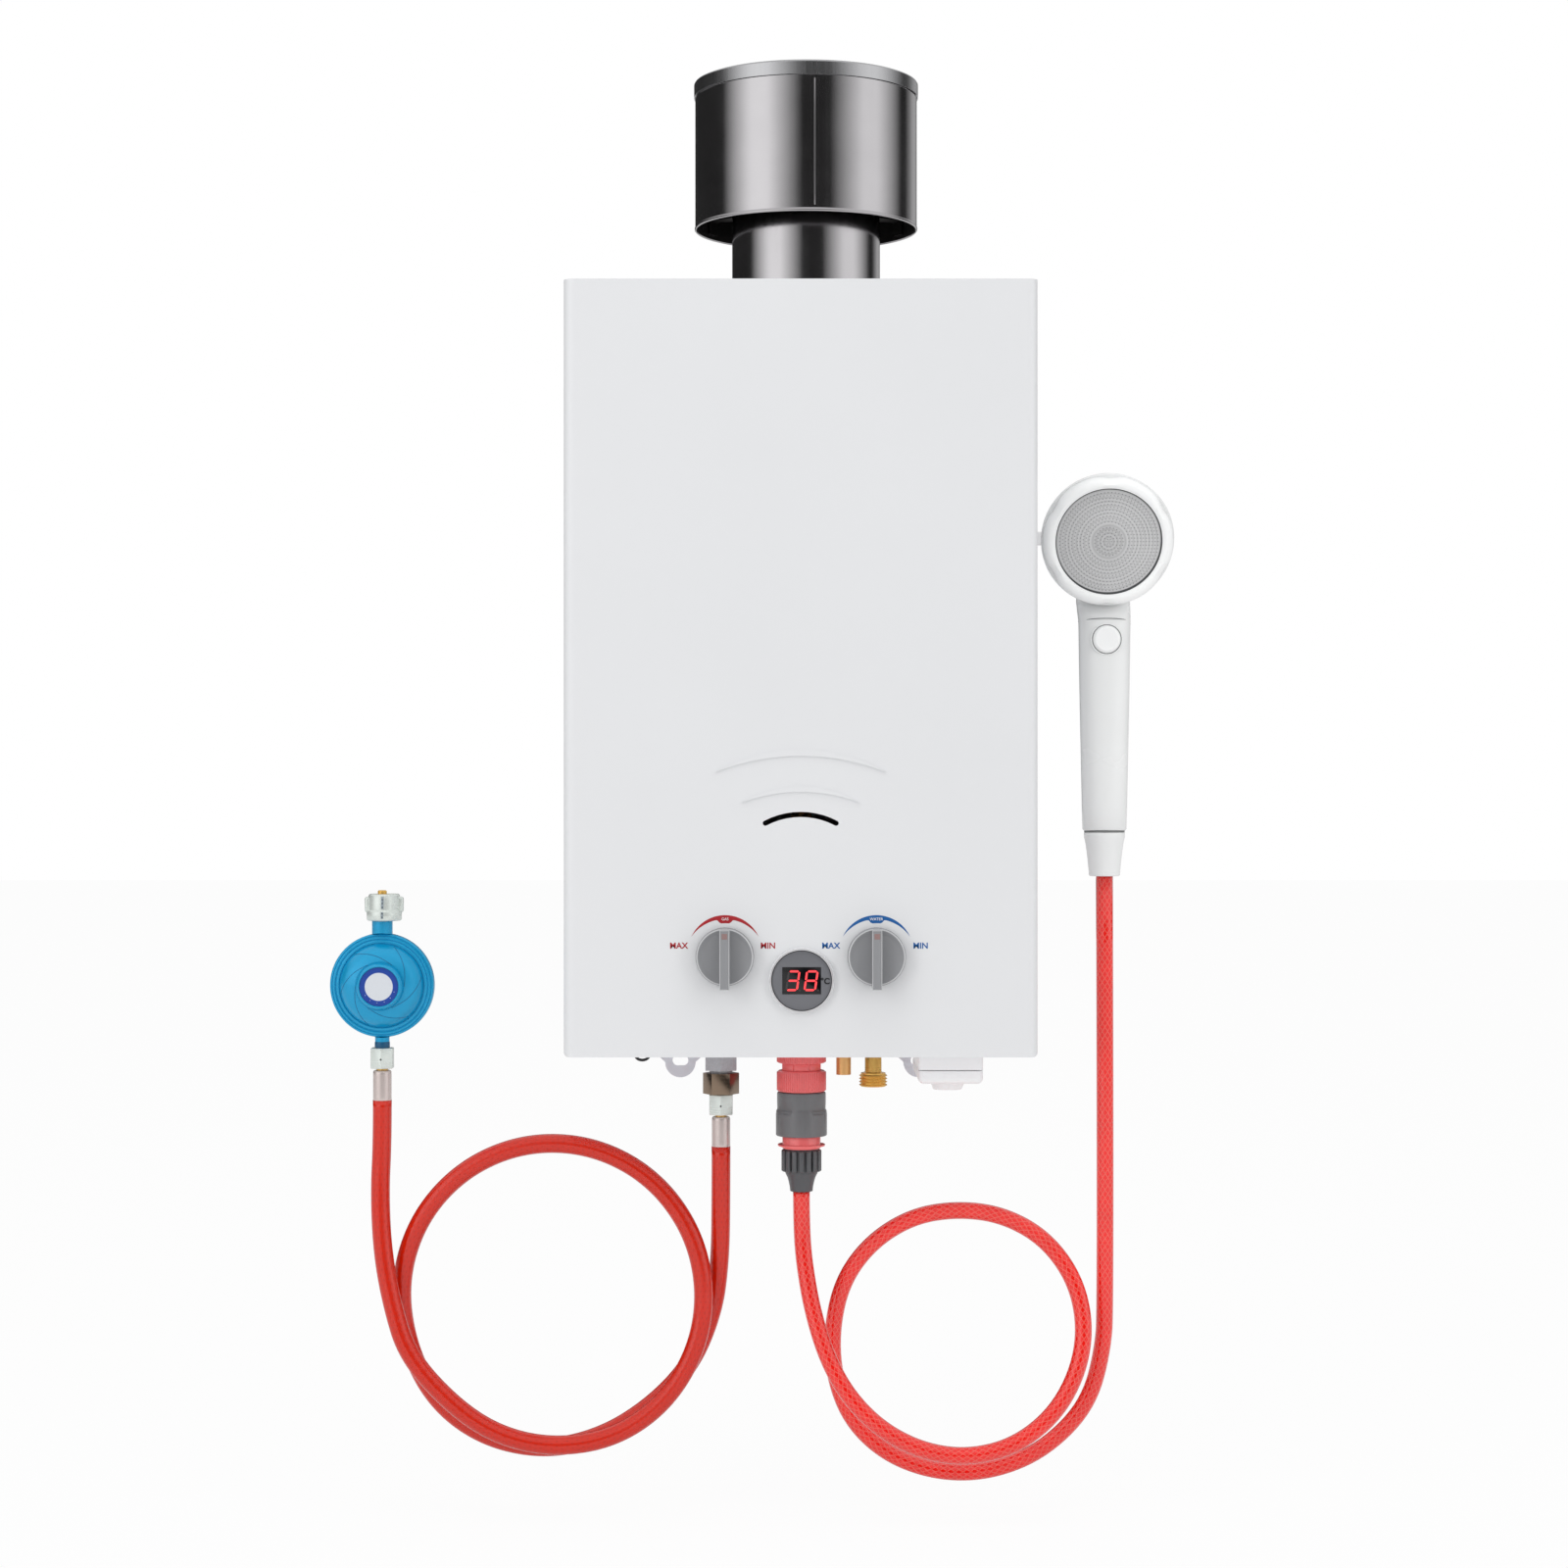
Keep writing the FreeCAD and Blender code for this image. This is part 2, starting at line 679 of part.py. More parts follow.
def flue_and_cap():
    axis = ("flue_side", STACK)
    collar_foot = f"{TOP} - skin - collar_height"
    pipe = (
        ("flue_radius - flue_wall", "flue_foot"), ("flue_radius", "flue_foot"),
        ("flue_radius", collar_foot), ("flue_radius + 1.2", collar_foot), ("flue_radius + 1.2", f"{TOP} - skin - 1.3"),
        ("collar_radius", f"{TOP} - skin - 1.3"), ("collar_radius", f"{TOP} - skin - 0.1"),
        ("flue_radius", f"{TOP} - skin - 0.1"), ("flue_radius", "flue_top"), ("flue_radius - flue_wall", "flue_top"),
    )
    node("flue_pipe", turned("flue_pipe", pipe, (*axis, 0)))
    wall = "(skirt_radius - flue_wall)"
    skirt = (
        (wall, "skirt_low"), ("skirt_radius + bead_radius", "skirt_low"),
        ("skirt_radius + bead_radius", "skirt_low + bead_radius * 2"), ("skirt_radius", "skirt_low + bead_radius * 3"),
        ("skirt_radius", "lid_low"), (wall, "lid_low"),
    )
    node("cap_skirt", turned("cap_skirt", skirt, (*axis, 0)))
    lid_top = "(lid_low + lid_height)"
    lid = (
        ("lid_radius - lid_rim", "lid_low"), ("lid_radius", "lid_low"), ("lid_radius", f"{lid_top} - 2"),
        ("lid_radius - 0.8", f"{lid_top} - 0.7"), ("lid_radius - 2.4", lid_top), (0, lid_top),
        (0, f"{lid_top} - 1"), ("lid_radius - lid_rim", f"{lid_top} - 1"),
    )
    node("cap_lid", turned("cap_lid", lid, (*axis, 0)))
    cap_straps()


def cap_straps():
    """Three stepped straps that carry the rain cap on the flue pipe."""
    straps = []
    centre = vector("flue_side", STACK, 0)
    inner = size("flue_radius")
    reach = size("skirt_radius - flue_wall - flue_radius")
    width = size("strap_width")
    level = size("strap_level")
    tab = size("strap_tab")
    for angle in (-90, 30, 150):
        bar = Part.makeBox(reach, width, 1.2, FreeCAD.Vector(inner, -width / 2, level + tab))
        up = Part.makeBox(1.2, width, tab, FreeCAD.Vector(inner, -width / 2, level + tab))
        down = Part.makeBox(1.2, width, tab, FreeCAD.Vector(inner + reach - 1.2, -width / 2, level))
        strap = bar.fuse([up, down])
        rim = Part.makeCylinder(inner + reach, 100, FreeCAD.Vector(0, 0, level - 20))
        pipe = Part.makeCylinder(inner, 100, FreeCAD.Vector(0, 0, level - 20))
        strap = strap.common(rim).cut(pipe)
        strap.rotate(FreeCAD.Vector(), Z_AXIS, angle)
        straps.append(strap.translated(centre))
    node("cap_brackets", fixed_shape("cap_brackets", Part.makeCompound(straps)))


def knob(label, side):
    """A turned knob with a grip bar across it, and the valve stem that it drives."""
    face = f"{FRONT} - knob_gap"
    profile = (
        ("stem_radius", 0), ("knob_radius - 0.8", 0), ("knob_radius", 0.8), ("knob_radius", "knob_base - 1.4"),
        ("knob_radius - 1.4", "knob_base"), (0, "knob_base"), (0, "stem_in_knob * 0.7"), ("stem_radius", "stem_in_knob * 0.7"),
    )
    disc = turned(f"{label}_disc", profile, (side, face, "knob_level"), TO_FRONT)
    bar = box(
        f"{label}_bar_block",
        ("knob_bar", "knob_depth - knob_base / 2", "knob_bar_rise + knob_bar_drop"),
        (f"{side} - knob_bar / 2", f"{face} - knob_depth", "knob_level - knob_bar_drop"),
    )
    grip = rounded(f"{label}_bar", bar, "knob_round", Z_AXIS, lambda middle: middle.y < size(face) - 12)
    socket = rod(f"{label}_socket", "stem_radius + 0.05", "stem_in_knob * 0.7", (side, face, "knob_level"), TO_FRONT)
    node(label, cut(label, join(f"{label}_solid", disc, grip), socket))


def valve_stem(label, side):
    face = f"{FRONT} - knob_gap - stem_in_knob * 0.7"
    stem = rod(f"{label}_rod", "stem_radius", "stem_length", (side, f"{face} + stem_length", "knob_level"), TO_FRONT)
    node(label, stem)


def display():
    place = ("display_side", FRONT, "display_level")
    bezel = (
        ("display_radius", 0), ("bezel_radius", 0), ("bezel_radius", "bezel_height - 1.2"),
        ("bezel_radius - 0.5", "bezel_height"), ("display_radius", "bezel_height - 0.8"),
    )
    node("display_bezel", turned("display_bezel", bezel, place, TO_FRONT))
    face = (
        (0, "display_front - display_thick"), ("display_radius - 0.1", "display_front - display_thick"),
        ("display_radius - 0.1", "display_front"), (0, "display_front"),
    )
    disc = turned("display_disc", face, place, TO_FRONT)
    corner = ("display_side - window_width / 2", f"{FRONT} - display_front - 0.2", "display_level - window_height / 2")
    sizes = ("window_width", "window_thick", "window_height")
    pane = box("display_window", sizes, corner)
    recess = box("display_recess", sizes, corner)
    node("display_face", cut("display_face", disc, recess))
    node("display_window", pane)
    board = rod("board_disc", "board_radius", "board_thick", ("display_side", f"{FRONT} + board_back", "display_level"), TO_FRONT)
    digits = box(
        "display_digits",
        ("window_width - 4", "board_back - 3.6", "window_height - 3"),
        ("display_side - window_width / 2 + 2", f"{FRONT} + 3.6", "display_level - window_height / 2 + 1.5"),
    )
    node("display_board", join("display_board", board, digits))


def exchanger():
    """The copper core, its fins and coil, and the hood that gathers the gases under the flue."""
    left = "(flue_side - core_width / 2)"
    back = "(0 - stack_depth - core_depth / 2)"
    tall = "core_high - core_low"
    outer = box("core_block", ("core_width", "core_depth", tall), (left, back, "core_low"))
    hollow = box(
        "core_hollow",
        ("core_width - 2 * core_skin", "core_depth - 2 * core_skin", f"{tall} + 2"),
        (f"{left} + core_skin", f"{back} + core_skin", "core_low - 1"),
    )
    node("exchanger_shell", cut("exchanger_shell", outer, hollow))
    fins = []
    count = int(size("fin_count"))
    width = size("core_width - 2 * core_skin")
    start = vector(f"{left} + core_skin", f"{back} + core_skin", "fin_low")
    for number in range(count):
        corner = start + FreeCAD.Vector((number + 0.5) * width / count, 0, 0)
        fins.append(Part.makeBox(size("fin_thick"), size("core_depth - 2 * core_skin"), size("fin_high - fin_low"), corner))
    node("exchanger_fins", fixed_shape("exchanger_fins", Part.makeCompound(fins)))
    water_coil()
    hood_outer = box("hood_block", ("core_width + 2", "core_depth + 2", "hood_high - core_high"), (f"{left} - 1", f"{back} - 1", "core_high"))
    hood_inner = box("hood_hollow", ("core_width", "core_depth", "hood_high - core_high - 1"), (left, back, "core_high"))
    inner_cut = box("hood_open", ("core_width", "core_depth", "2"), (left, back, "core_high - 1"))
    mouth = rod("hood_mouth", "flue_radius - flue_wall - 1", "30", ("flue_side", STACK, "hood_high - 15"))
    spout_outer = rod("hood_spout", "flue_radius - flue_wall", "14", ("flue_side", STACK, "hood_high - 1"))
    hood = join("hood_solid", hood_outer, spout_outer)
    node("flue_hood", cut("flue_hood", hood, hood_inner, inner_cut, mouth))


def water_coil():
    """The copper tube that winds up round the core, then comes down to the water outlet."""
    reach_x = size("core_width / 2 + coil_radius + 1")
    reach_y = size("core_depth / 2 + coil_radius + 1")
    centre = vector("flue_side", STACK, 0)
    pitch = size("coil_pitch")
    level = size("core_low + 12")
    side = size("cold_side")
    points = [FreeCAD.Vector(side, centre.y - reach_y, size("knob_level + chamber_radius + 16"))]
    points.append(FreeCAD.Vector(side, centre.y - reach_y, level))
    corners = ((reach_x, -reach_y), (reach_x, reach_y), (-reach_x, reach_y), (-reach_x, -reach_y))
    for step in range(11):
        across, deep = corners[step % 4]
        points.append(centre + FreeCAD.Vector(across, deep, level + step / 4 * pitch))
    left = -reach_x - size("coil_drop")
    high = level + 2.75 * pitch
    low = size("outlet_bend")
    points.append(centre + FreeCAD.Vector(left, 0, high))
    points.append(centre + FreeCAD.Vector(left, 0, low))
    points.append(FreeCAD.Vector(size("outlet_side"), centre.y, low))
    points.append(FreeCAD.Vector(size("outlet_side"), centre.y, size(f"{BOTTOM} + 1")))
    solid = tube_with_bends(points, size("coil_radius"), size("coil_bend"))
    node("water_coil", fixed_shape("water_coil", solid))


def tube_with_bends(points, radius, reach):
    """A bent tube whose arcs all start the same distance from their corners."""
    edges = []
    start = points[0]
    for before, corner, after in zip(points, points[1:], points[2:]):
        back = (before - corner).normalize()
        ahead = (after - corner).normalize()
        turn = math.pi - back.getAngle(ahead)
        bend = reach / math.tan(turn / 2)
        inward = (back + ahead).normalize()
        middle = corner + inward * (bend / math.cos(turn / 2) - bend)
        enter = corner + back * reach
        leave = corner + ahead * reach
        edges.append(Part.LineSegment(start, enter).toShape())
        edges.append(Part.Arc(enter, middle, leave).toShape())
        start = leave
    edges.append(Part.LineSegment(start, points[-1]).toShape())
    spine = Part.Wire(edges)
    ring = Part.Wire([Part.Circle(points[0], points[1] - points[0], radius).toShape()])
    return spine.makePipeShell([ring], True, False)


def burner():
    left = "(flue_side - core_width / 2)"
    back = "(0 - stack_depth - core_depth / 2)"
    outer = box("burner_block", ("core_width", "core_depth", "burner_high - burner_low"), (left, back, "burner_low"))
    hollow = box(
        "burner_hollow",
        ("core_width - 2 * skin", "core_depth - 2 * skin", "burner_high - burner_low + 2"),
        (f"{left} + skin", f"{back} + skin", "burner_low - 1"),
    )
    node("burner_tray", cut("burner_tray", outer, hollow))
    bars = []
    count = int(size("bar_count"))
    pitch = size("core_width - 2 * skin") / count
    corner = vector(f"{left} + skin", f"{back} + skin", "burner_low + 6")
    for number in range(count):
        place = corner + FreeCAD.Vector((number + 0.5) * pitch - size("bar_thick / 2"), 0, 0)
        bars.append(Part.makeBox(size("bar_thick"), size("core_depth - 2 * skin"), 24, place))
    node("burner_bars", fixed_shape("burner_bars", Part.makeCompound(bars)))
    pipe = rod("manifold_pipe", "manifold_radius", "core_width", (left, "0 - manifold_depth", "manifold_level"), TO_RIGHT)
    nozzles = []
    for number in range(count):
        side = f"{left} + skin + {(number + 0.5) / count} * (core_width - 2 * skin)"
        nozzles.append(rod(f"nozzle_{number}", "nozzle_radius", "burner_low - manifold_level + 6", (side, "0 - manifold_depth", "manifold_level")))
    riser = rod(
        "manifold_riser", "manifold_radius", "manifold_level - knob_level - valve_radius",
        ("0 - knob_side", "0 - manifold_depth", "knob_level + valve_radius"),
    )
    node("gas_manifold", join("gas_manifold", pipe, riser, *nozzles))
    probes = []
    for side in (-24, 4, 32):
        shaft = rod(f"probe_{side}", "probe_radius", "24", (side, f"{back} + 20", "burner_high + 3"), TO_FRONT)
        sleeve = rod(f"probe_sleeve_{side}", "probe_radius * 2.4", "10", (side, back, "burner_high + 3"), TO_FRONT)
        probes.extend((shaft, sleeve))
    node("electrodes", join("electrodes", *probes))


def valves():
    """The gas and water sections behind the knobs, and the rod that links them."""
    body = rod("gas_valve_barrel", "valve_radius", "valve_length", ("0 - knob_side", "0 - valve_back", "knob_level"), TO_FRONT)
    bore = rod("gas_valve_bore", "stem_radius + 0.1", "valve_length", ("0 - knob_side", "0 - valve_back - 6", "knob_level"), TO_FRONT)
    seat = rod("gas_valve_seat", "gas_riser_radius + 0.1", "30", ("gas_side", STACK, "knob_level - valve_radius + 3 - 30"))
    node("gas_valve_body", cut("gas_valve_body", body, bore, seat))
    drum = rod("water_valve_drum", "valve_radius", "valve_length", ("knob_side", "0 - valve_back", "knob_level"), TO_FRONT)
    chamber = rod("water_valve_chamber", "chamber_radius", "14", ("knob_side - 14", "0 - rod_depth", "knob_level + 4"), TO_RIGHT)
    stem_bore = rod("water_valve_bore", "stem_radius + 0.1", "valve_length", ("knob_side", "0 - valve_back - 10", "knob_level"), TO_FRONT)
    rod_bore = rod("water_valve_rod_bore", "rod_radius + 0.1", "20", ("knob_side - 24", "0 - rod_depth", "knob_level + 20"), TO_RIGHT)
    seat = rod("water_valve_seat", "cold_neck_radius + 0.1", "30", ("cold_side", STACK, "knob_level - chamber_radius + 10 - 30"))
    node("water_valve_body", cut("water_valve_body", join("water_valve_solid", drum, chamber), stem_bore, rod_bore, seat))
    rod_left = "(0 - knob_side + 14)"
    node(
        "push_rod",
        rod("push_rod", "rod_radius", "2 * knob_side - 20", (rod_left, "0 - rod_depth", "knob_level + 20"), TO_RIGHT),
    )
    switch = box("switch_block", ("20", "12", "10"), ("0 - 10", "0 - rod_depth - 4", "knob_level + 26"))
    lever = box("switch_lever", ("16", "5", "1"), ("0 - 8", "0 - rod_depth - 2", "knob_level + 24.4"))
    post = box("switch_post", ("2", "5", "2"), ("0 - 8", "0 - rod_depth - 2", "knob_level + 24.8"))
    node("micro_switch", join("micro_switch", switch, lever, post))
    node("ignition_box", box("ignition_box", ("36", "46", "96"), ("0 - case_width / 2 + 8", "0 - 60", "0 - 150")))


def battery_compartment():
    left = "(battery_side - battery_box_width / 2)"
    back = "(0 - stack_depth - battery_box_depth / 2)"
    outer = box("battery_block", ("battery_box_width", "battery_box_depth", "battery_box_top - battery_seam"), (left, back, "battery_seam"))
    inner = box(
        "battery_hollow",
        ("battery_box_width - 2 * battery_box_wall", "battery_box_depth - 2 * battery_box_wall", "battery_box_top - battery_seam - battery_box_wall + 1"),
        (f"{left} + battery_box_wall", f"{back} + battery_box_wall", "battery_seam - 1"),
    )
    outer = rounded("battery_round", outer, "2", Z_AXIS)
    node("battery_box", cut("battery_box", outer, inner))
    cells = []
    for number, sign in enumerate(("-", "+")):
        place = ("battery_side", f"{STACK} {sign} battery_spacing / 2", "battery_box_top - battery_box_wall - 4 - battery_length")
        can = rod(f"cell_{number}", "battery_radius", "battery_length", place)
        cap = rod(f"cell_cap_{number}", "4.5", "1.5", (place[0], place[1], "battery_box_top - battery_box_wall - 4"))
        cells.append(join(f"battery_{number}", can, cap))
    node("batteries", join("batteries", *cells))
    lid_depth = "battery_box_depth"
    lid_block = box("lid_block", ("battery_box_width", lid_depth, "battery_seam - battery_lid_low - 0.4"), (left, back, "battery_lid_low"))
    lid_sides = rounded("lid_sides", lid_block, "2", Z_AXIS)
    lid_edges = rounded("lid_edges", lid_sides, "1.8", Y_AXIS, lambda middle: middle.z < size("battery_lid_low") + 0.1)
    pocket = box(
        "lid_pocket",
        ("battery_box_width - 5", "battery_box_depth - 5", "6"),
        (f"{left} + 2.5", f"{back} + 2.5", "battery_lid_low + 2.4"),
    )
    passage = rod("latch_passage", "latch_stem + 0.1", "10", ("battery_side", STACK, "battery_lid_low - 4"))
    tail = box("lid_tail", ("14", "hinge_set_back + 3", "5"), ("battery_side - 7", f"{back} + battery_box_depth - 0.5", "battery_lid_low + 1.2"))
    pin_hole = rod("lid_pin_hole", "hinge_pin + 0.05", "30", ("battery_side - 15", LID_PIN_DEPTH, LID_PIN_LEVEL), TO_RIGHT)
    node("battery_lid", cut("battery_lid", join("lid_solid", lid_edges, tail), pocket, passage, pin_hole))
    node("battery_lid_pin", lid_pin())
    latch = (
        (0, "0 - latch_drop"), ("latch_radius - 2.6", "0 - latch_drop"), ("latch_radius - 0.4", "0 - 1.2"),
        ("latch_radius", "0 - 0.2"), ("latch_stem", "0 - 0.2"), ("latch_stem", "3.2"), (0, "3.2"),
    )
    knob_body = turned("latch_knob", latch, ("battery_side", STACK, "battery_lid_low"))
    tongue = box("latch_tongue", ("6", "20", "2"), ("battery_side - 3", f"{STACK} - 10", "battery_lid_low + 2.8"))
    node("battery_latch", join("battery_latch", knob_body, tongue))


LID_PIN_DEPTH = "(battery_box_depth / 2 - stack_depth + hinge_set_back)"
LID_PIN_LEVEL = "(battery_lid_low + 3.7)"


def lid_pin():
    """The lid's hinge pin with the two ears that hang it from the bottom plate."""
    pin = rod("hinge_rod", "hinge_pin", "22", ("battery_side - 11", LID_PIN_DEPTH, LID_PIN_LEVEL), TO_RIGHT)
    ears = []
    for number, side in enumerate(("battery_side - 11", "battery_side + 9")):
        sizes = ("2", "4.6", f"{BOTTOM} - {LID_PIN_LEVEL} + 1.6")
        ears.append(box(f"hinge_ear_{number}", sizes, (side, f"{LID_PIN_DEPTH} - 1.5", f"{LID_PIN_LEVEL} - 1.6")))
    return join("battery_lid_pin", pin, *ears)


GAS_HEX_FOOT = below(BOTTOM, "gas_hex_length", "skin")
ADAPTER_TOP = below(GAS_HEX_FOOT, "gas_neck_length")
ADAPTER_FOOT = below(ADAPTER_TOP, "adapter_length")
SWIVEL_FOOT = below(ADAPTER_FOOT, "swivel_length", "0.2")
FERRULE_TOP = below(SWIVEL_FOOT, "nipple_show")


def gas_inlet():
    """The cast inlet under the gas section, and the adapter screwed on it."""
    block = hexagon("inlet_hex", "gas_hex", "gas_hex_length", ("gas_side", STACK, GAS_HEX_FOOT))
    neck = rod("inlet_neck", "gas_neck_radius", "gas_neck_length", ("gas_side", STACK, ADAPTER_TOP))
    thread = rod("inlet_thread", "6", "8", ("gas_side", STACK, f"{ADAPTER_TOP} - 8"))
    riser = rod("inlet_riser", "gas_riser_radius", f"knob_level - valve_radius + 3 - {GAS_HEX_FOOT}", ("gas_side", STACK, GAS_HEX_FOOT))
    node("gas_inlet_fitting", join("gas_inlet_fitting", block, neck, thread, riser))
    nut = hexagon("adapter_block", "adapter_hex", "adapter_length", ("gas_side", STACK, ADAPTER_FOOT), False)
    bore = rod("adapter_bore", "6.1", "9", ("gas_side", STACK, f"{ADAPTER_TOP} - 8"))
    flare = rod("adapter_flare", "swivel_bore - 0.1", "7", ("gas_side", STACK, f"{ADAPTER_FOOT} - 6.5"))
    node("gas_adapter", cut("gas_adapter", join("adapter_solid", nut, flare), bore))


def swivel(label, side, top, foot, flats):
    """A hose nut that turns on its nipple."""
    nut = hexagon(f"{label}_block", flats, f"{top} - {foot} - 0.2", (side, STACK, foot))
    bore = rod(f"{label}_bore", "swivel_bore", f"{top} - {foot} - 3", (side, STACK, f"{foot} + 3"))
    throat = rod(f"{label}_throat", "swivel_neck", "10", (side, STACK, f"{foot} - 2"))
    node(label, cut(label, nut, bore, throat))


def nipple(name, side, foot):
    """The brass nipple inside a hose nut, whose barbed tail is in the ferrule."""
    profile = (
        ("nipple_radius - 1.4", "0 - 12"), ("nipple_radius - 0.4", "0 - 12"), ("nipple_radius - 0.4", "0 - nipple_show"),
        ("nipple_radius", "0 - nipple_show"), ("nipple_radius", 3.2), ("nipple_head", 3.2), ("nipple_head", 4.6), ("nipple_radius - 1.4", 5.6),
    )
    return turned(name, profile, (side, STACK, foot))


def ferrule(name, side, top):
    profile = (
        ("nipple_radius - 0.4", "0 - ferrule_length"), ("ferrule_radius", "0 - ferrule_length"),
        ("ferrule_radius", "0 - ferrule_length * 0.78"), ("ferrule_radius - 0.5", "0 - ferrule_length * 0.7"),
        ("ferrule_radius - 0.5", "0 - ferrule_length * 0.3"), ("ferrule_radius", "0 - ferrule_length * 0.22"),
        ("ferrule_radius", "0 - 0.5"), ("ferrule_radius - 0.5", 0), ("nipple_radius - 0.4", 0),
    )
    return turned(name, profile, (side, STACK, top))


TAP_FOOT = below(BOTTOM, "tap_top_length", "tap_neck_length", "tap_collar_length", "skin * 0.2")
SLEEVE_FOOT = below(TAP_FOOT, "sleeve_length")
QUICK_FOOT = below(SLEEVE_FOOT, "quick_length")
CLAMP_FOOT = below(QUICK_FOOT, "clamp_length")


def water_outlet():
    """The tap adapter and the push-on connector that carries the shower hose."""
    top = below(BOTTOM, "skin * 0.2")
    profile = (
        ("spigot_bore", "0 - tap_top_length - tap_neck_length - tap_collar_length - spigot_length"),
        ("spigot_radius", "0 - tap_top_length - tap_neck_length - tap_collar_length - spigot_length"),
        ("spigot_radius", "0 - tap_top_length - tap_neck_length - tap_collar_length"),
        ("tap_ring_radius - 0.4", "0 - tap_top_length - tap_neck_length - tap_collar_length"),
        ("tap_ring_radius", "0.6 - tap_top_length - tap_neck_length - tap_collar_length"),
        ("tap_ring_radius", "0 - tap_top_length - tap_neck_length"),
        ("tap_neck_radius", "0.6 - tap_top_length - tap_neck_length"),
        ("tap_neck_radius", "0 - tap_top_length"),
        ("tap_ring_radius", "0 - tap_top_length"),
        ("tap_ring_radius", 0), ("spigot_bore", 0),
    )
    node("tap_adapter", turned("tap_adapter", profile, ("outlet_side", STACK, top)))
    sleeve = (
        ("sleeve_bore", "0 - sleeve_length"), ("sleeve_foot_radius", "0 - sleeve_length"),
        ("sleeve_foot_radius", "0 - sleeve_upper - 1"), ("sleeve_radius", "0 - sleeve_upper"),
        ("sleeve_radius", "0 - 1"), ("sleeve_radius - 0.6", "0 - 0.3"), ("sleeve_bore", "0 - 0.3"),
    )
    node("quick_sleeve", turned("quick_sleeve", sleeve, ("outlet_side", STACK, TAP_FOOT)))
    body = (
        ("spigot_bore", "0 - quick_length - 9"), ("quick_radius - 3.6", "0 - quick_length - 9"),
        ("quick_radius - 3.6", "0 - quick_length"),
        ("quick_radius", "0 - quick_length"), ("quick_radius", "0 - quick_length + 1.2"),
        ("quick_wing", "0 - quick_length + 1.4"), ("quick_wing", "0 - quick_length + 2.4"), ("quick_radius", "0 - quick_length + 2.6"),
        ("quick_radius", "0 - 0.6"), ("quick_inner", "0 - 0.4"), ("quick_inner", "sleeve_length - 1.4"),
        ("spigot_radius + 0.1", "sleeve_length - 1.4"), ("spigot_radius + 0.1", "sleeve_length - spigot_length"),
        ("spigot_bore", "sleeve_length - spigot_length"),
    )
    node("quick_body", turned("quick_body", body, ("outlet_side", STACK, SLEEVE_FOOT)))
    nut = (
        ("quick_radius - 3.5", 0), ("clamp_radius", "0 - 0.2"), ("clamp_radius", "0 - clamp_length"),
        ("cone_top_radius", "0 - clamp_length"), ("cone_top_radius - 1.8", "0 - clamp_length - cone_length * 0.35"),
        ("cone_foot_radius + 0.3", "0 - clamp_length - cone_length * 0.75"),
        ("cone_foot_radius", "0 - clamp_length - cone_length"), ("shower_hose_radius + 0.1", "0 - clamp_length - cone_length"),
        ("shower_hose_radius + 0.1", "0 - clamp_length"), ("quick_radius - 3.5", "0 - clamp_length + 4"),
    )
    node("hose_clamp_nut", turned("hose_clamp_nut", nut, ("outlet_side", STACK, below(QUICK_FOOT, "0.2"))))


def cold_inlet_and_stub():
    top = "knob_level - chamber_radius + 10"
    neck_foot = below(BOTTOM, "cold_neck_length")
    foot = below(neck_foot, "cold_thread_length")
    root = "(cold_thread_radius - 0.9)"
    profile = [("cold_bore", foot), (root, foot)]
    turns = 4
    pitch = f"(cold_thread_length - 1.2) / {turns}"
    for number in range(turns):
        low, start, end, high = (f"{foot} + {number + part} * {pitch}" for part in (0.1, 0.35, 0.65, 0.9))
        profile.extend(((root, low), ("cold_thread_radius", start), ("cold_thread_radius", end), (root, high)))
    profile.extend((
        (root, f"{neck_foot} - 1.2"), ("cold_thread_radius", f"{neck_foot} - 1.2"), ("cold_thread_radius", neck_foot),
        ("cold_neck_radius", neck_foot), ("cold_neck_radius", top), ("cold_bore", top),
    ))
    node("cold_inlet_fitting", turned("cold_inlet_fitting", profile, ("cold_side", STACK, 0)))
    stub_foot = below(BOTTOM, "relief_drop")
    stub = (
        ("relief_radius - tube_wall", stub_foot), ("relief_radius", stub_foot),
        ("relief_radius", f"{BOTTOM} + 30"), ("relief_radius - tube_wall", f"{BOTTOM} + 30"),
    )
    node("relief_stub", turned("relief_stub", stub, ("relief_side", STACK, 0)))


def ignition_wire():
    """A short loop of wire that hangs out under the case."""
    reach = size("wire_loop")
    low = size(f"{BOTTOM} - wire_drop")
    bend = size(f"{BOTTOM} - 1.4")
    high = size(f"{BOTTOM} + 6")
    side = size("wire_side")
    depth = size(STACK)
    points = [
        FreeCAD.Vector(side - reach, depth, high),
        FreeCAD.Vector(side - reach, depth, bend),
        FreeCAD.Vector(side - reach / 4, depth, low),
        FreeCAD.Vector(side + reach, depth, bend),
        FreeCAD.Vector(side + reach, depth, high),
    ]
    solid = tube_with_bends(points, size("wire_radius"), 1.6)
    node("ignition_wire", fixed_shape("ignition_wire", solid))


def ellipse(name, wide, thick, place):
    item = DOC.addObject("Part::Ellipse", name)
    item.setExpression("MajorRadius", bound(f"({wide}) / 2"))
    item.setExpression("MinorRadius", bound(f"({thick}) / 2"))
    return put(item, place)


HANDSET_BACK = "(0 - handset_depth)"


def head_turn():
    """The turn that leans the shower head forward about the middle of its back."""
    return FreeCAD.Rotation(FreeCAD.Vector(1, 0, 0), 90 + size("head_tilt"))


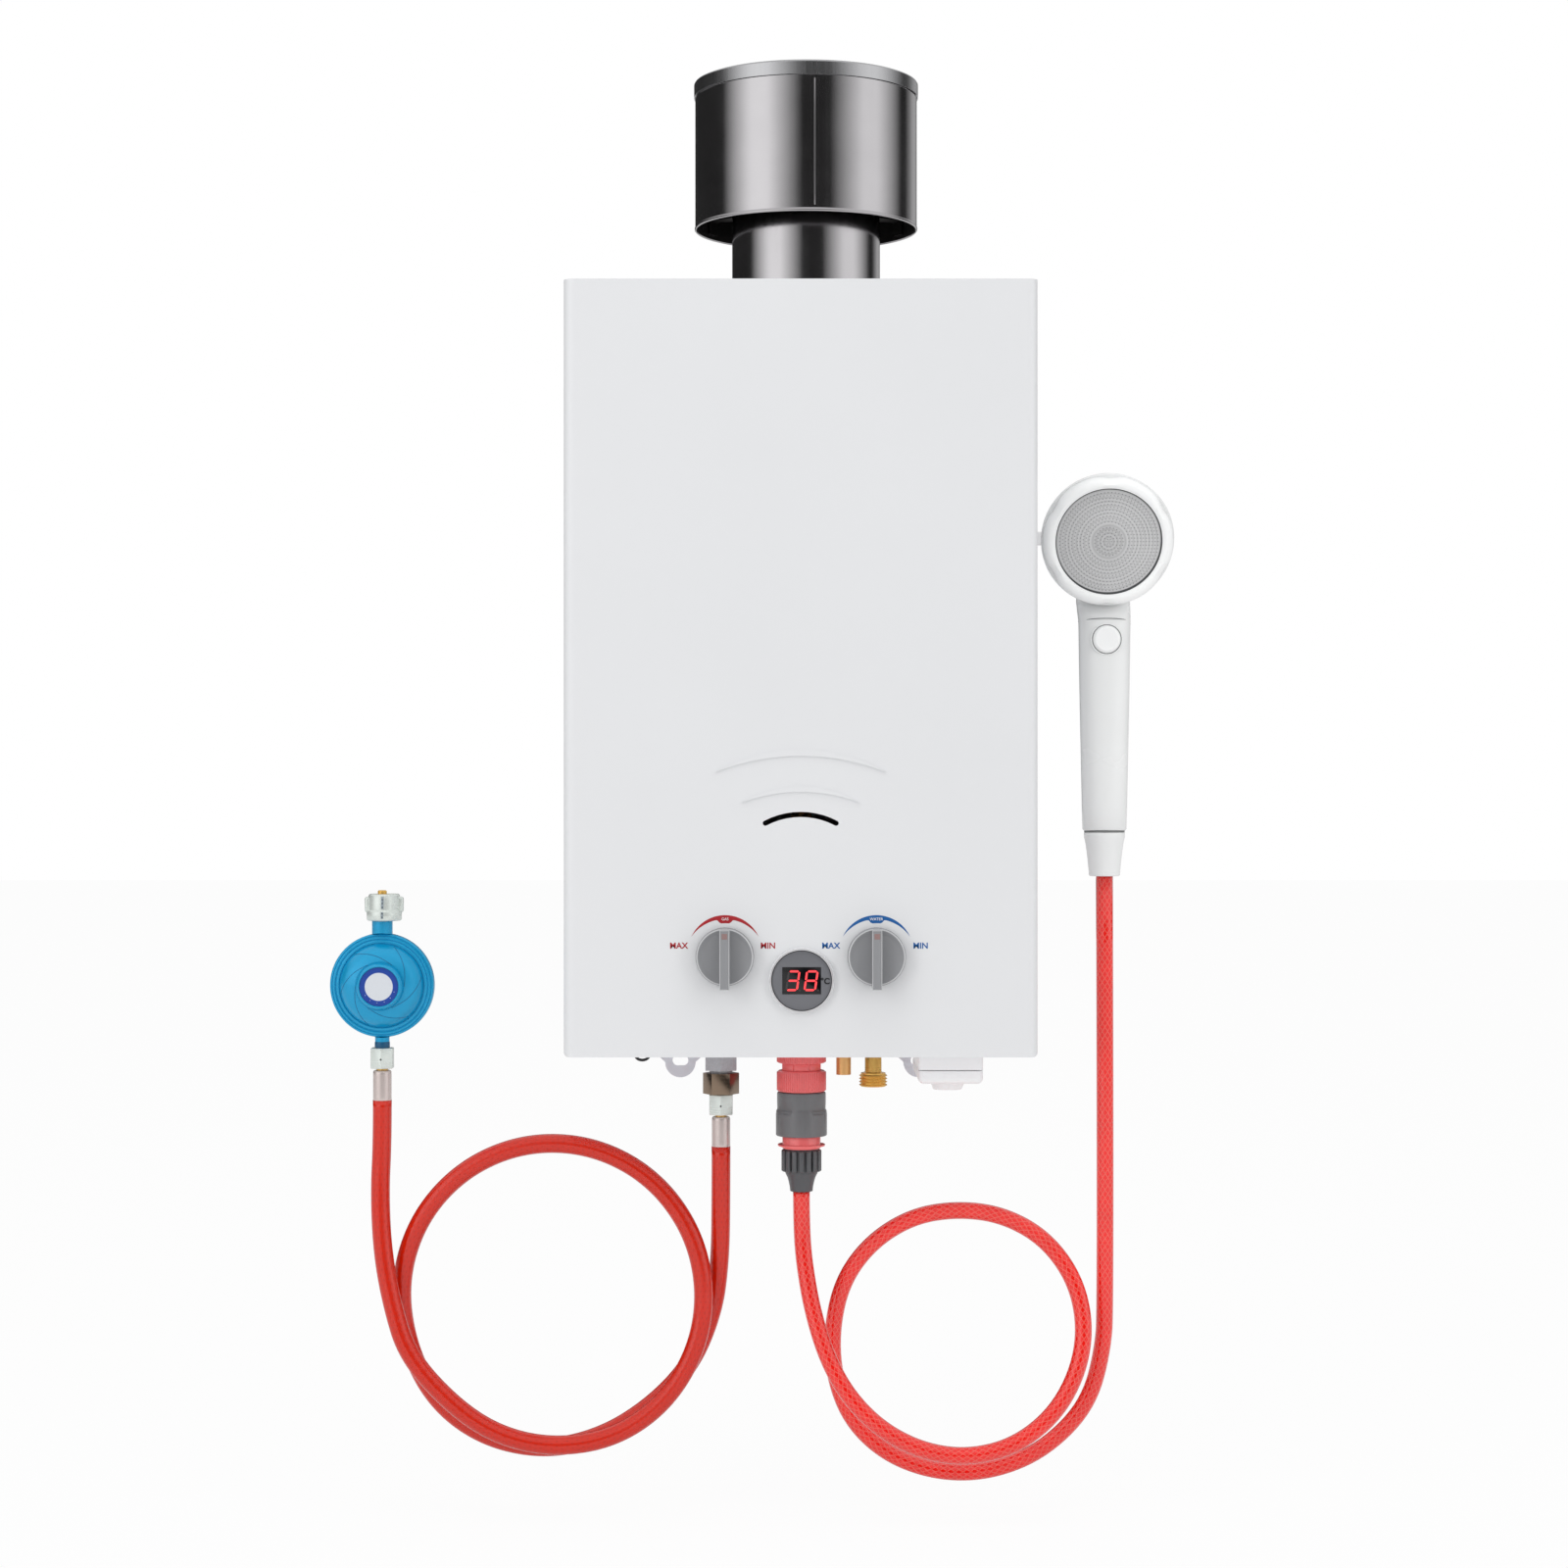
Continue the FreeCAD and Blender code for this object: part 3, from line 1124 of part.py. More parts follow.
def handset():
    """The hand shower: head shell with neck and handle in one, spray ring, plate, button and nut."""
    side = "handset_side"
    handle = DOC.addObject("Part::Loft", "handset_handle")
    handle.Sections = [
        ellipse("handle_end", "handle_wide_foot", "handle_thick_foot", (side, HANDSET_BACK, "handle_foot")),
        ellipse("handle_start", "handle_wide", "handle_thick", (side, HANDSET_BACK, "handle_top")),
        ellipse("handle_neck", "neck_width", "neck_thick", (side, f"{HANDSET_BACK} + neck_set_back", "handle_top + 15")),
        ellipse("handle_root", "neck_width - 6", "neck_thick - 6", (side, f"{HANDSET_BACK} + neck_set_back - 4", "handle_top + 35")),
    ]
    handle.Solid = True
    handle.Ruled = True
    tilt = head_turn()
    centre = (side, "0 - head_front + head_thick", "head_level")
    shell = (
        (0, 0), ("head_back_radius", 0), ("head_radius - 4", "head_thick * 0.4"), ("head_radius - 1", "head_thick * 0.7"),
        ("head_radius", "head_thick"), ("hub_radius + hub_gap", "head_thick"),
        ("hub_radius + hub_gap", "head_thick - hub_length - 1"), (0, "head_thick - hub_length - 1"),
    )
    head = turned("handset_head", shell, centre, tilt)
    button_well = rod("button_well", "button_radius + button_gap", "30", (side, HANDSET_BACK, "button_level"), TO_FRONT)
    peg_hole = rod("peg_hole", "peg_radius + 0.1", "peg_length", (side, "0 - holder_clear", "peg_level"), TO_FRONT)
    spigot = rod("handset_spigot", "hand_spigot", "16", (side, HANDSET_BACK, "handle_foot - 14"))
    tools = [button_well, peg_hole, hub_bore(centre, tilt)]
    node("handset_body", cut("handset_body", join("handset_solid", handle, head, spigot), *tools))
    spray_parts(centre, tilt)
    button_parts(side)


def hub_bore(centre, tilt):
    profile = (
        (0, "head_thick - hub_length - 1"), ("hub_radius + hub_gap", "head_thick - hub_length - 1"),
        ("hub_radius + hub_gap", "head_thick + 60"), (0, "head_thick + 60"),
    )
    return turned("hub_bore", profile, centre, tilt)


def spray_parts(centre, tilt):
    start = "(head_thick + face_gap)"
    ring = (
        ("plate_radius", start), ("ring_radius - 0.6", start), ("ring_radius", f"{start} + ring_thick * 0.45"),
        ("ring_radius - 1.2", f"{start} + ring_thick * 0.9"), ("ring_radius - 2.6", f"{start} + ring_thick"),
        ("plate_radius + 0.6", f"{start} + ring_thick"), ("plate_radius", f"{start} + ring_thick - 1.4"),
    )
    band = turned("ring_band", ring, centre, tilt)
    DOC.recompute()
    axis = tilt.multVec(Z_AXIS)
    up = tilt.multVec(FreeCAD.Vector(0, 1, 0))
    across = up.cross(axis)
    middle = vector(*centre)
    notches = []
    for number in range(6):
        swing = math.radians(30 + 60 * number)
        spot = middle + (across * math.cos(swing) + up * math.sin(swing)) * size("lobe_reach")
        notches.append(Part.makeCylinder(size("lobe_radius"), 60, spot, axis))
    lobes = fixed_shape("ring_notches", Part.makeCompound(notches))
    node("spray_ring", cut("spray_ring", band, lobes))
    plate = (
        (0, "head_thick - hub_length"), ("hub_radius", "head_thick - hub_length"), ("hub_radius", start),
        ("plate_radius - 0.1", start), ("plate_radius - 0.1", f"{start} + plate_thick + 3"),
        (0, f"{start} + plate_thick + 3.8"),
    )
    node("spray_plate", turned("spray_plate", plate, centre, tilt))


def button_parts(side):
    front = "(0 - handset_depth - handle_thick / 2 - button_proud)"
    node("handset_button", rod("handset_button", "button_radius", "button_height", (side, f"{front} + button_height", "button_level"), TO_FRONT))
    foot = "(hose_top)"
    nut = (
        ("hand_spigot + 0.1", "handle_foot - 14.4"), ("hand_spigot + 0.1", "hand_nut_top"), ("hand_nut_radius", "hand_nut_top"),
        ("hand_nut_radius", "hand_nut_top - 2"), ("hand_nut_foot_radius + 1.2", f"{foot} + 7"),
        ("hand_nut_foot_radius", foot), ("shower_hose_radius", foot), ("shower_hose_radius", "handle_foot - 14.4"),
    )
    node("handset_nut", turned("handset_nut", nut, (side, HANDSET_BACK, 0)))


def handset_holder():
    """A bracket on the case's side, whose peg carries the hand shower from behind."""
    plate = box("holder_plate", ("holder_thick", "holder_plate", "holder_plate"), ("case_width / 2", "0 - holder_clear - holder_plate / 2", "head_level - holder_plate / 2"))
    arm = box(
        "holder_arm",
        ("handset_side + 7 - case_width / 2", "holder_thick", "holder_arm"),
        ("case_width / 2", "0 - holder_clear + 1", "head_level - holder_arm / 2"),
    )
    drop = box(
        "holder_drop",
        ("14", "holder_thick", "head_level - peg_level + 10"),
        ("handset_side - 7", "0 - holder_clear + 1", "peg_level - 6"),
    )
    peg = rod("holder_peg", "peg_radius", "peg_length + 2", ("handset_side", "0 - holder_clear + 2", "peg_level"), TO_FRONT)
    node("handset_holder", join("handset_holder", plate, arm, drop, peg))


REG_SWIVEL_FOOT = below("reg_swivel_top", "reg_swivel_length", "0.1")
REG_FERRULE_TOP = below(REG_SWIVEL_FOOT, "nipple_show")


def regulator():
    """The low-pressure regulator: rear bowl with neck and stub, crimped front dome, label disc."""
    place = ("reg_side", STACK, "reg_level")
    bowl = (
        (0, "0 - reg_depth"), ("reg_dome * 0.55", "0 - reg_depth"), ("reg_dome * 0.8", "0 - reg_depth * 0.6"),
        ("reg_dome", "0 - reg_rim_thick"), ("reg_rim", "0 - reg_rim_thick"), ("reg_rim", 0),
        ("reg_dome - 3", 0), ("reg_dome * 0.7", "0 - reg_depth * 0.45"), (0, "0 - reg_depth * 0.7"),
    )
    back = turned("regulator_bowl", bowl, place, TO_FRONT)
    neck = rod("regulator_neck", "reg_neck_radius", "reg_neck_top - reg_level - reg_dome * 0.7", ("reg_side", f"{STACK}", "reg_level + reg_dome * 0.7"))
    stub = rod("regulator_stub", "reg_stub_radius", "reg_level - reg_dome * 0.7 - reg_stub_foot", ("reg_side", STACK, "reg_stub_foot"))
    inside = (
        (0, "0 - reg_depth * 0.7"), ("reg_dome * 0.7", "0 - reg_depth * 0.45"), ("reg_dome - 3", 0),
        ("reg_dome - 3", 20), (0, 20),
    )
    hollow = turned("regulator_hollow", inside, place, TO_FRONT)
    node("regulator_body", cut("regulator_body", join("regulator_solid", back, clear_of_dome(neck, place), clear_of_dome(stub, place)), hollow))
    dome = (
        ("reg_dome - 3", 0), ("reg_rim", 0), ("reg_rim", "reg_rim_thick - 0.8"), ("reg_rim - 0.8", "reg_rim_thick"),
        ("reg_dome + 2.4", "reg_rim_thick"), ("reg_dome + 0.6", "reg_rim_thick - 0.8"), ("reg_dome - 0.8", "reg_rim_thick + 1"), ("reg_dome * 0.84", "reg_depth * 0.72"),
        ("reg_cup + 1", "reg_depth * 0.86"), ("reg_cup", "reg_depth"), ("reg_cup", "reg_depth + reg_cup_height"),
        ("reg_cup - 1.6", "reg_depth + reg_cup_height"), ("reg_cup - 2.4", "reg_depth + reg_cup_height - 1.4"),
        (0, "reg_depth + reg_cup_height - 1.4"), (0, "reg_depth - 2"), ("reg_cup - 1", "reg_depth - 2"),
        ("reg_dome * 0.75", "reg_depth * 0.45"),
    )
    node("regulator_cover", turned("regulator_cover", dome, place, TO_FRONT))
    label = rod("regulator_label", "reg_label", "0.5", ("reg_side", f"{STACK} - reg_depth - reg_cup_height + 1.4", "reg_level"), TO_FRONT)
    node("regulator_label", label)
    plate = rod("diaphragm_plate", "reg_dome - 10", "1.2", ("reg_side", STACK, "reg_level"), TO_FRONT)
    skin_disc = rod("diaphragm_skin", "reg_dome - 4", "0.8", ("reg_side", f"{STACK} + 0.8", "reg_level"), TO_FRONT)
    post = rod("diaphragm_spring", "4", "9", ("reg_side", f"{STACK} - 1.2", "reg_level"), TO_FRONT)
    node("regulator_diaphragm", join("regulator_diaphragm", plate, skin_disc, post))
    bottle_connection()


def clear_of_dome(part, place):
    """Trims a neck so that it stays behind the crimped dome."""
    front = (
        (0, 0), ("reg_rim + 0.1", 0), ("reg_rim + 0.1", "30"), (0, "30"),
    )
    return cut(f"{part.Name}_trimmed", part, turned(f"{part.Name}_trim", front, place, TO_FRONT))


def bottle_connection():
    foot = "(reg_neck_top + 0.3)"
    barrel = rod("bottle_nut_barrel", "bottle_nut_radius", f"bottle_nut_top - {foot}", ("reg_side", STACK, foot))
    wings = []
    for number in range(3):
        wing = box(
            f"bottle_wing_{number}",
            ("bottle_nut_wing", "5", "9.6"),
            ("reg_side", f"{STACK} - 2.5", "bottle_nut_top - 10.4"),
        )
        DOC.recompute()
        turn = FreeCAD.Rotation(Z_AXIS, 120 * number)
        offset = turn.multVec(FreeCAD.Vector(0, -2.5, 0))
        wing.Placement.Rotation = turn
        wing.setExpression("Placement.Base.x", bound("reg_side") + f" + {offset.x}")
        wing.setExpression("Placement.Base.y", bound(STACK) + f" + {offset.y}")
        wings.append(wing)
    mouth = rod("bottle_nut_mouth", "bottle_nut_bore", "bottle_thread_depth + 5", ("reg_side", STACK, "bottle_nut_top - bottle_thread_depth"))
    throat = rod("bottle_nut_throat", "bottle_tip_radius + 2.1", "40", ("reg_side", STACK, f"{foot} - 10"))
    node("bottle_nut", cut("bottle_nut", join("bottle_nut_solid", barrel, *wings), mouth, throat))
    profile = (
        (0, "reg_neck_top"), ("bottle_tip_radius + 2", "reg_neck_top"), ("bottle_tip_radius + 2", "bottle_nut_top - bottle_thread_depth + 0.3"),
        ("bottle_nut_bore - 1", "bottle_nut_top - bottle_thread_depth + 0.3"), ("bottle_nut_bore - 1", "bottle_nut_top - bottle_thread_depth + 2"),
        ("bottle_tip_radius", "bottle_nut_top - bottle_thread_depth + 4"), ("bottle_tip_radius", "bottle_tip - 0.5"),
        ("bottle_tip_radius - 0.5", "bottle_tip"), (0, "bottle_tip"),
    )
    node("bottle_nipple", turned("bottle_nipple", profile, ("reg_side", STACK, 0)))


def export_nodes():
    """Checks every object and every sub-part, then writes one file for each sub-part."""
    DOC.recompute()
    for item in DOC.Objects:
        if "Invalid" in item.State or "Error" in item.State:
            raise ValueError(f"{item.Name} failed: {item.State}")
    labels = [item.Label for item in NODES]
    if len(labels) != len(set(labels)):
        raise ValueError("two sub-parts share a label")
    for item in NODES:
        if item.Shape.isNull() or not item.Shape.isValid() or item.Shape.Volume <= 0:
            raise ValueError(f"{item.Label} has no valid shape")
    os.makedirs("parts", exist_ok=True)
    for item in NODES:
        item.Shape.exportStep(f"parts/{item.Label}.step")
    print(len(NODES), "sub-parts")


def build():
    fill_sheet()
    front_cover()
    rear_panel()
    cover_screws()
    flue_and_cap()
    for prefix, side in (("gas", "0 - knob_side"), ("water", "knob_side")):
        knob(f"{prefix}_knob", side)
        valve_stem(f"{prefix}_valve_stem", side)
    display()
    exchanger()
    burner()
    valves()
    battery_compartment()
    gas_inlet()
    swivel("inlet_hose_nut", "gas_side", below(ADAPTER_FOOT, "0.2"), SWIVEL_FOOT, "swivel_hex")
    swivel("regulator_hose_nut", "reg_side", "reg_swivel_top", REG_SWIVEL_FOOT, "reg_swivel_hex")
    nipples = (
        nipple("inlet_nipple", "gas_side", SWIVEL_FOOT),
        nipple("regulator_nipple", "reg_side", REG_SWIVEL_FOOT),
    )
    node("hose_nipples", join("hose_nipples", *nipples))
    ferrules = (
        ferrule("inlet_ferrule", "gas_side", FERRULE_TOP),
        ferrule("regulator_ferrule", "reg_side", REG_FERRULE_TOP),
    )
    node("hose_ferrules", join("hose_ferrules", *ferrules))
    water_outlet()
    cold_inlet_and_stub()
    ignition_wire()
    handset()
    handset_holder()
    regulator()
    print("ends", size(FERRULE_TOP) - size("ferrule_length"), size(REG_FERRULE_TOP) - size("ferrule_length"))
    print("clamp end", size(CLAMP_FOOT) - size("cone_length") - 0.2)
    hose("gas_hose", GAS_ROUTE, "gas_hose_radius")
    hose("shower_hose", SHOWER_ROUTE, "shower_hose_radius")
    export_nodes()


build()
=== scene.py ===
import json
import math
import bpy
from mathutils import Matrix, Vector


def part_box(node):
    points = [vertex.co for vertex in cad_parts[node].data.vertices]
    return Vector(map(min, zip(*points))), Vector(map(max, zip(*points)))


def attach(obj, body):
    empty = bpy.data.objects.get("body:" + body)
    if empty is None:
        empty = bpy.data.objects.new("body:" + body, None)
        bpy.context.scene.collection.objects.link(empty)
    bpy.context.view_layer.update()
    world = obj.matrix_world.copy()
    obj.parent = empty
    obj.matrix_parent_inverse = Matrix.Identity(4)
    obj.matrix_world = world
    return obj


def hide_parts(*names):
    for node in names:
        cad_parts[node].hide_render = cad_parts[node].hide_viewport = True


bl_info = {
    "name": "Outdoor water heater",
    "version": (1, 0, 0),
    "blender": (4, 5, 0),
    "location": "View3D > Sidebar > Heater",
    "description": "Dresses a wall-hung gas water heater with its shower line and gas line",
    "category": "Object",
}

import bmesh
import bpy
from mathutils import Matrix, Vector

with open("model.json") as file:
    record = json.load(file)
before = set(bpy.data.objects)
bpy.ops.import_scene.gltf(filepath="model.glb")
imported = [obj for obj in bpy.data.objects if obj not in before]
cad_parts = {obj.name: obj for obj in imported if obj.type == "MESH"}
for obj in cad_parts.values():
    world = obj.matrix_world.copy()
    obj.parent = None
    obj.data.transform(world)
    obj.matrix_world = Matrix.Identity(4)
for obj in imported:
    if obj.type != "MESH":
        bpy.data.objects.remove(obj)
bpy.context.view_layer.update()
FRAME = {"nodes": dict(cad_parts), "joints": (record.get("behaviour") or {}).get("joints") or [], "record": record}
NODES = FRAME["nodes"]
SLOTS = {part["node"]: part["material_slot"] for part in FRAME["record"]["subparts"]}
BODIES = {node: body for body, nodes in FRAME["record"]["behaviour"]["bodies"].items() for node in nodes}
MM = 0.001


def corners(node):
    """The low and the high corner of a CAD node's box, in millimetres."""
    low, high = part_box(node)
    return low / MM, high / MM


def width(node):
    low, high = corners(node)
    return high.x - low.x


def middle(node):
    """The middle of a CAD node's box, in millimetres."""
    low, high = corners(node)
    return (low + high) / 2


# Depth of the row of fittings under the case, and of the case's front
STACK_Y = middle("inlet_hose_nut").y
COVER_FACE = -140.0


def facing(node):
    """Of a round node that faces the front: the middle of its back, its radius and its depth."""
    low, high = corners(node)
    return ((low.x + high.x) / 2, high.y, (low.z + high.z) / 2), (high.x - low.x) / 2, high.y - low.y


def standing(node, top=False):
    """Of a fitting under the case: the foot or the head of its axis, its radius and its height."""
    low, high = corners(node)
    level = high.z if top else low.z
    return ((low.x + high.x) / 2, STACK_Y, level), (high.x - low.x) / 2, high.z - low.z


def srgb(red, green, blue):
    """A colour written in screen values from 0 to 255, as the renderer's linear numbers."""
    def linear(value):
        value = value / 255
        return value / 12.92 if value <= 0.04045 else ((value + 0.055) / 1.055) ** 2.4
    return (linear(red), linear(green), linear(blue), 1.0)


# Shader maths


class Wire:
    """A shader socket that takes part in sums."""

    def __init__(self, shade, socket):
        self.shade = shade
        self.socket = socket

    def maths(self, operation, *others):
        node = self.shade.add("ShaderNodeMath", {"operation": operation}, dict(enumerate((self, *others))))
        return Wire(self.shade, node.outputs[0])

    def __add__(self, other):
        return self.maths("ADD", other)

    __radd__ = __add__

    def __sub__(self, other):
        return self.maths("SUBTRACT", other)

    def __rsub__(self, other):
        node = self.shade.add("ShaderNodeMath", {"operation": "SUBTRACT"}, {0: other, 1: self})
        return Wire(self.shade, node.outputs[0])

    def __mul__(self, other):
        return self.maths("MULTIPLY", other)

    __rmul__ = __mul__

    def __truediv__(self, other):
        return self.maths("DIVIDE", other)

    def __pow__(self, other):
        return self.maths("POWER", other)

    def fraction(self):
        return self.maths("FRACT")

    def size(self):
        return self.maths("ABSOLUTE")

    def sine(self):
        return self.maths("SINE")

    def step(self, low, high):
        """0 below low, 1 above high, and a smooth rise between them."""
        settings = {"interpolation_type": "SMOOTHSTEP"}
        node = self.shade.add("ShaderNodeMapRange", settings, {0: self, 1: low, 2: high, 3: 0.0, 4: 1.0})
        return Wire(self.shade, node.outputs[0])


class Shade:
    """A material, or the world, whose nodes are written as expressions."""

    def __init__(self, owner):
        owner.use_nodes = True
        self.owner = owner
        self.tree = owner.node_tree
        self.tree.nodes.clear()

    def add(self, kind, settings=None, inputs=None):
        node = self.tree.nodes.new(kind)
        for key, value in (settings or {}).items():
            if key == "stops":
                self.set_stops(node.color_ramp, value)
            else:
                setattr(node, key, value)
        for key, value in (inputs or {}).items():
            if isinstance(value, Wire):
                self.tree.links.new(value.socket, node.inputs[key])
            elif value is not None:
                node.inputs[key].default_value = value
        return node

    @staticmethod
    def set_stops(ramp, stops):
        """Fills a ramp whose first stop is at 0 and last at 1."""
        ramp.elements[0].color = stops[0][1]
        ramp.elements[1].color = stops[-1][1]
        for place, colour in stops[1:-1]:
            ramp.elements.new(place).color = colour

    def out(self, kind, settings=None, inputs=None, output=0):
        return Wire(self, self.add(kind, settings, inputs).outputs[output])

    def place(self, output="Object"):
        return self.out("ShaderNodeTexCoord", output=output)

    def parts(self, vector):
        node = self.add("ShaderNodeSeparateXYZ", None, {0: vector})
        return [Wire(self, socket) for socket in node.outputs]

    def stretched(self, scale):
        return self.out("ShaderNodeMapping", None, {"Vector": self.place(), "Scale": scale})

    def noise(self, scale, vector=None, detail=3.0):
        inputs = {"Vector": vector or self.place(), "Scale": scale, "Detail": detail}
        return self.out("ShaderNodeTexNoise", None, inputs)

    def blend(self, mask, first, second):
        node = self.tree.nodes.new("ShaderNodeMix")
        node.data_type = "RGBA"
        for key, value in ((0, mask), (6, first), (7, second)):
            if isinstance(value, Wire):
                self.tree.links.new(value.socket, node.inputs[key])
            else:
                node.inputs[key].default_value = value
        return Wire(self, node.outputs[2])

    def bump(self, height, strength, distance):
        inputs = {"Height": height, "Strength": strength, "Distance": distance}
        return self.out("ShaderNodeBump", None, inputs)

    def surface(self, **inputs):
        """Ends the material in a principled shader with these sockets."""
        named = {
            key.replace("_", " ").title().replace("Ior", "IOR"): value
            for key, value in inputs.items()
        }
        shader = self.out("ShaderNodeBsdfPrincipled", None, named)
        self.add("ShaderNodeOutputMaterial", None, {"Surface": shader})
        return self.owner


MATERIALS = {}


def once(maker):
    """Lets a maker of finishes make each named material once."""
    def make(name, *values, **options):
        if name not in MATERIALS:
            MATERIALS[name] = maker(Shade(bpy.data.materials.new(name)), *values, **options)
        return MATERIALS[name]
    return make


def darker(colour, amount):
    return (*(value * amount for value in colour[:3]), 1.0)


@once
def powder_coat(shade, colour):
    """Baked powder paint: fine orange peel and a faint unevenness in tone."""
    cloud = shade.noise(9.0)
    peel = shade.noise(900.0, detail=2.0)
    return shade.surface(
        base_color=shade.blend(cloud, darker(colour, 0.97), colour),
        roughness=cloud * 0.08 + 0.3,
        normal=shade.bump(peel, 0.12, 0.0001),
    )


@once
def moulded(shade, colour, roughness=0.4, grain=0.1, scale=1500.0):
    """Moulded plastic with a fine even grain."""
    cloud = shade.noise(25.0)
    skin = shade.noise(scale, detail=2.0)
    return shade.surface(
        base_color=shade.blend(cloud, darker(colour, 0.94), colour),
        roughness=cloud * 0.08 + (roughness - 0.04),
        normal=shade.bump(skin, grain, 0.0001),
    )


@once
def metal(shade, colour, roughness=0.3, streaks=(30.0, 30.0, 900.0), depth=0.08, metallic=1.0):
    """Machined or plated metal whose streaks run along the axes with the small scales."""
    lines = shade.noise(1.0, shade.stretched(streaks), detail=4.0)
    cloud = shade.noise(40.0)
    return shade.surface(
        base_color=shade.blend(cloud, darker(colour, 0.86), colour),
        metallic=metallic,
        roughness=lines * 0.12 + cloud * 0.08 + (roughness - 0.1),
        normal=shade.bump(lines, depth, 0.00005),
    )


@once
def casting(shade, colour):
    """Rough cast metal."""
    pits = shade.noise(700.0, detail=5.0)
    return shade.surface(
        base_color=shade.blend(pits, darker(colour, 0.6), colour),
        metallic=0.35,
        roughness=pits * 0.2 + 0.4,
        normal=shade.bump(pits, 0.5, 0.0003),
    )


@once
def clear_plastic(shade, colour):
    """Tinted see-through plastic, deep in colour and glossy."""
    depth = shade.noise(120.0)
    return shade.surface(
        base_color=shade.blend(depth, darker(colour, 0.86), colour),
        roughness=depth * 0.06 + 0.16,
        coat_weight=0.3,
    )


@once
def ink(shade, colour, roughness=0.45):
    speck = shade.noise(2500.0)
    return shade.surface(base_color=shade.blend(speck, darker(colour, 0.93), colour), roughness=roughness)


@once
def glow(shade, colour, strength):
    return shade.surface(
        base_color=colour, roughness=0.4, emission_color=colour, emission_strength=strength,
    )


def braid_mask(shade, strands, pitch, width):
    """Two families of threads that wind round a hose both ways, from its own UV map."""
    around, along, _ = shade.parts(shade.place("UV"))
    threads = []
    for sign in (1, -1):
        swing = (around * float(sign * strands) + along * (1 / pitch)).fraction()
        threads.append(1 - (swing - 0.5).size().step(width * 0.4, width))
    return threads


@once
def clear_hose(shade, colour, thread):
    """A clear red hose over a pale braid, brighter where its walls are thick."""
    first, second = braid_mask(shade, 10, 0.0048, 0.16)
    web = first.maths("MAXIMUM", second)
    depth = shade.noise(60.0)
    body = shade.blend(depth, darker(colour, 0.8), colour)
    return shade.surface(
        base_color=shade.blend(web * 0.24, body, thread),
        roughness=0.15 + web * 0.1,
        coat_weight=0.8,
        normal=shade.bump(web, 0.35, 0.0003),
    )


@once
def rubber_hose(shade, colour):
    """A satin rubber hose that shows its braid as a faint pattern of dots."""
    first, second = braid_mask(shade, 12, 0.0062, 0.24)
    dots = first * second
    cloud = shade.noise(80.0)
    body = shade.blend(cloud, darker(colour, 0.9), colour)
    return shade.surface(
        base_color=shade.blend(dots * 0.4, body, darker(colour, 0.55)),
        roughness=cloud * 0.06 + 0.18,
        coat_weight=0.3,
        normal=shade.bump(dots, 0.25, 0.0003),
    )


@once
def label_print(shade, centre, ring, paper, radius):
    """A round label with a coloured band round a plain middle."""
    offset = shade.out("ShaderNodeVectorMath", {"operation": "SUBTRACT"}, {0: shade.place(), 1: centre})
    across, _, up = shade.parts(offset)
    reach = (across * across + up * up) ** 0.5
    band = reach.step(radius - 0.0001, radius + 0.0001)
    speck = shade.noise(900.0)
    return shade.surface(
        base_color=shade.blend(band, paper, shade.blend(speck, darker(ring, 0.9), ring)),
        roughness=0.3,
    )


@once
def perforated(shade, centre, colour, pitch):
    """Brushed steel whose rings of fine holes show as faint circles round its middle."""
    offset = shade.out("ShaderNodeVectorMath", {"operation": "SUBTRACT"}, {0: shade.place(), 1: centre})
    across, deep, up = shade.parts(offset)
    reach = (across * across + deep * deep + up * up) ** 0.5
    rings = (reach * (math.tau / pitch)).sine() * 0.5 + 0.5
    pressed = 1 - reach.step(0.0094, 0.0099)
    cloud = shade.noise(60.0)
    mask = rings * (cloud * 0.7 + 0.2) + pressed * 0.2
    return shade.surface(
        base_color=shade.blend(mask, colour, darker(colour, 0.66)),
        metallic=0.2,
        roughness=cloud * 0.1 + 0.34,
        normal=shade.bump(rings, 0.25, 0.0002),
    )


@once
def cell_wrap(shade, seam):
    """A battery's printed film: a dark body under a copper-coloured band."""
    _, _, up = shade.parts(shade.place())
    band = up.step(seam - 0.0001, seam + 0.0001)
    return shade.surface(
        base_color=shade.blend(band, srgb(40, 42, 48), srgb(190, 130, 80)),
        roughness=0.3,
        metallic=band * 0.6,
    )


# Mesh making


SHARP = math.radians(38)
TO_FRONT = Matrix.Rotation(math.radians(90), 4, "X")
UPRIGHT = Matrix.Identity(4)


def placed(centre, turn=UPRIGHT):
    """From a piece's own millimetres to its place in the frame, in metres."""
    return Matrix.Scale(MM, 4) @ Matrix.Translation(Vector(centre)) @ turn


def new_piece(name, mesh, node, material=None, replaces=False, smooth=True):
    """Adds a piece with the body and the slot of a CAD node, which it can take the place of."""
    piece = bpy.data.objects.new(name, mesh)
    bpy.context.scene.collection.objects.link(piece)
    mesh.materials.clear()
    mesh.materials.append(material or finish(node))
    mesh.polygons.foreach_set("use_smooth", [smooth] * len(mesh.polygons))
    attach(piece, BODIES[node])
    if replaces:
        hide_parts(node)
    return piece


def soft_edges(piece, width=0.3, angle=32, segments=2):
    """Rounds the sharp edges a little, so that they catch the light."""
    bevel = piece.modifiers.new("edges", "BEVEL")
    bevel.width = width * MM
    bevel.segments = segments
    bevel.limit_method = "ANGLE"
    bevel.angle_limit = math.radians(angle)
    bevel.harden_normals = True
    return piece


def clean(shape):
    bmesh.ops.remove_doubles(shape, verts=shape.verts, dist=1e-5)
    bmesh.ops.recalc_face_normals(shape, faces=shape.faces)


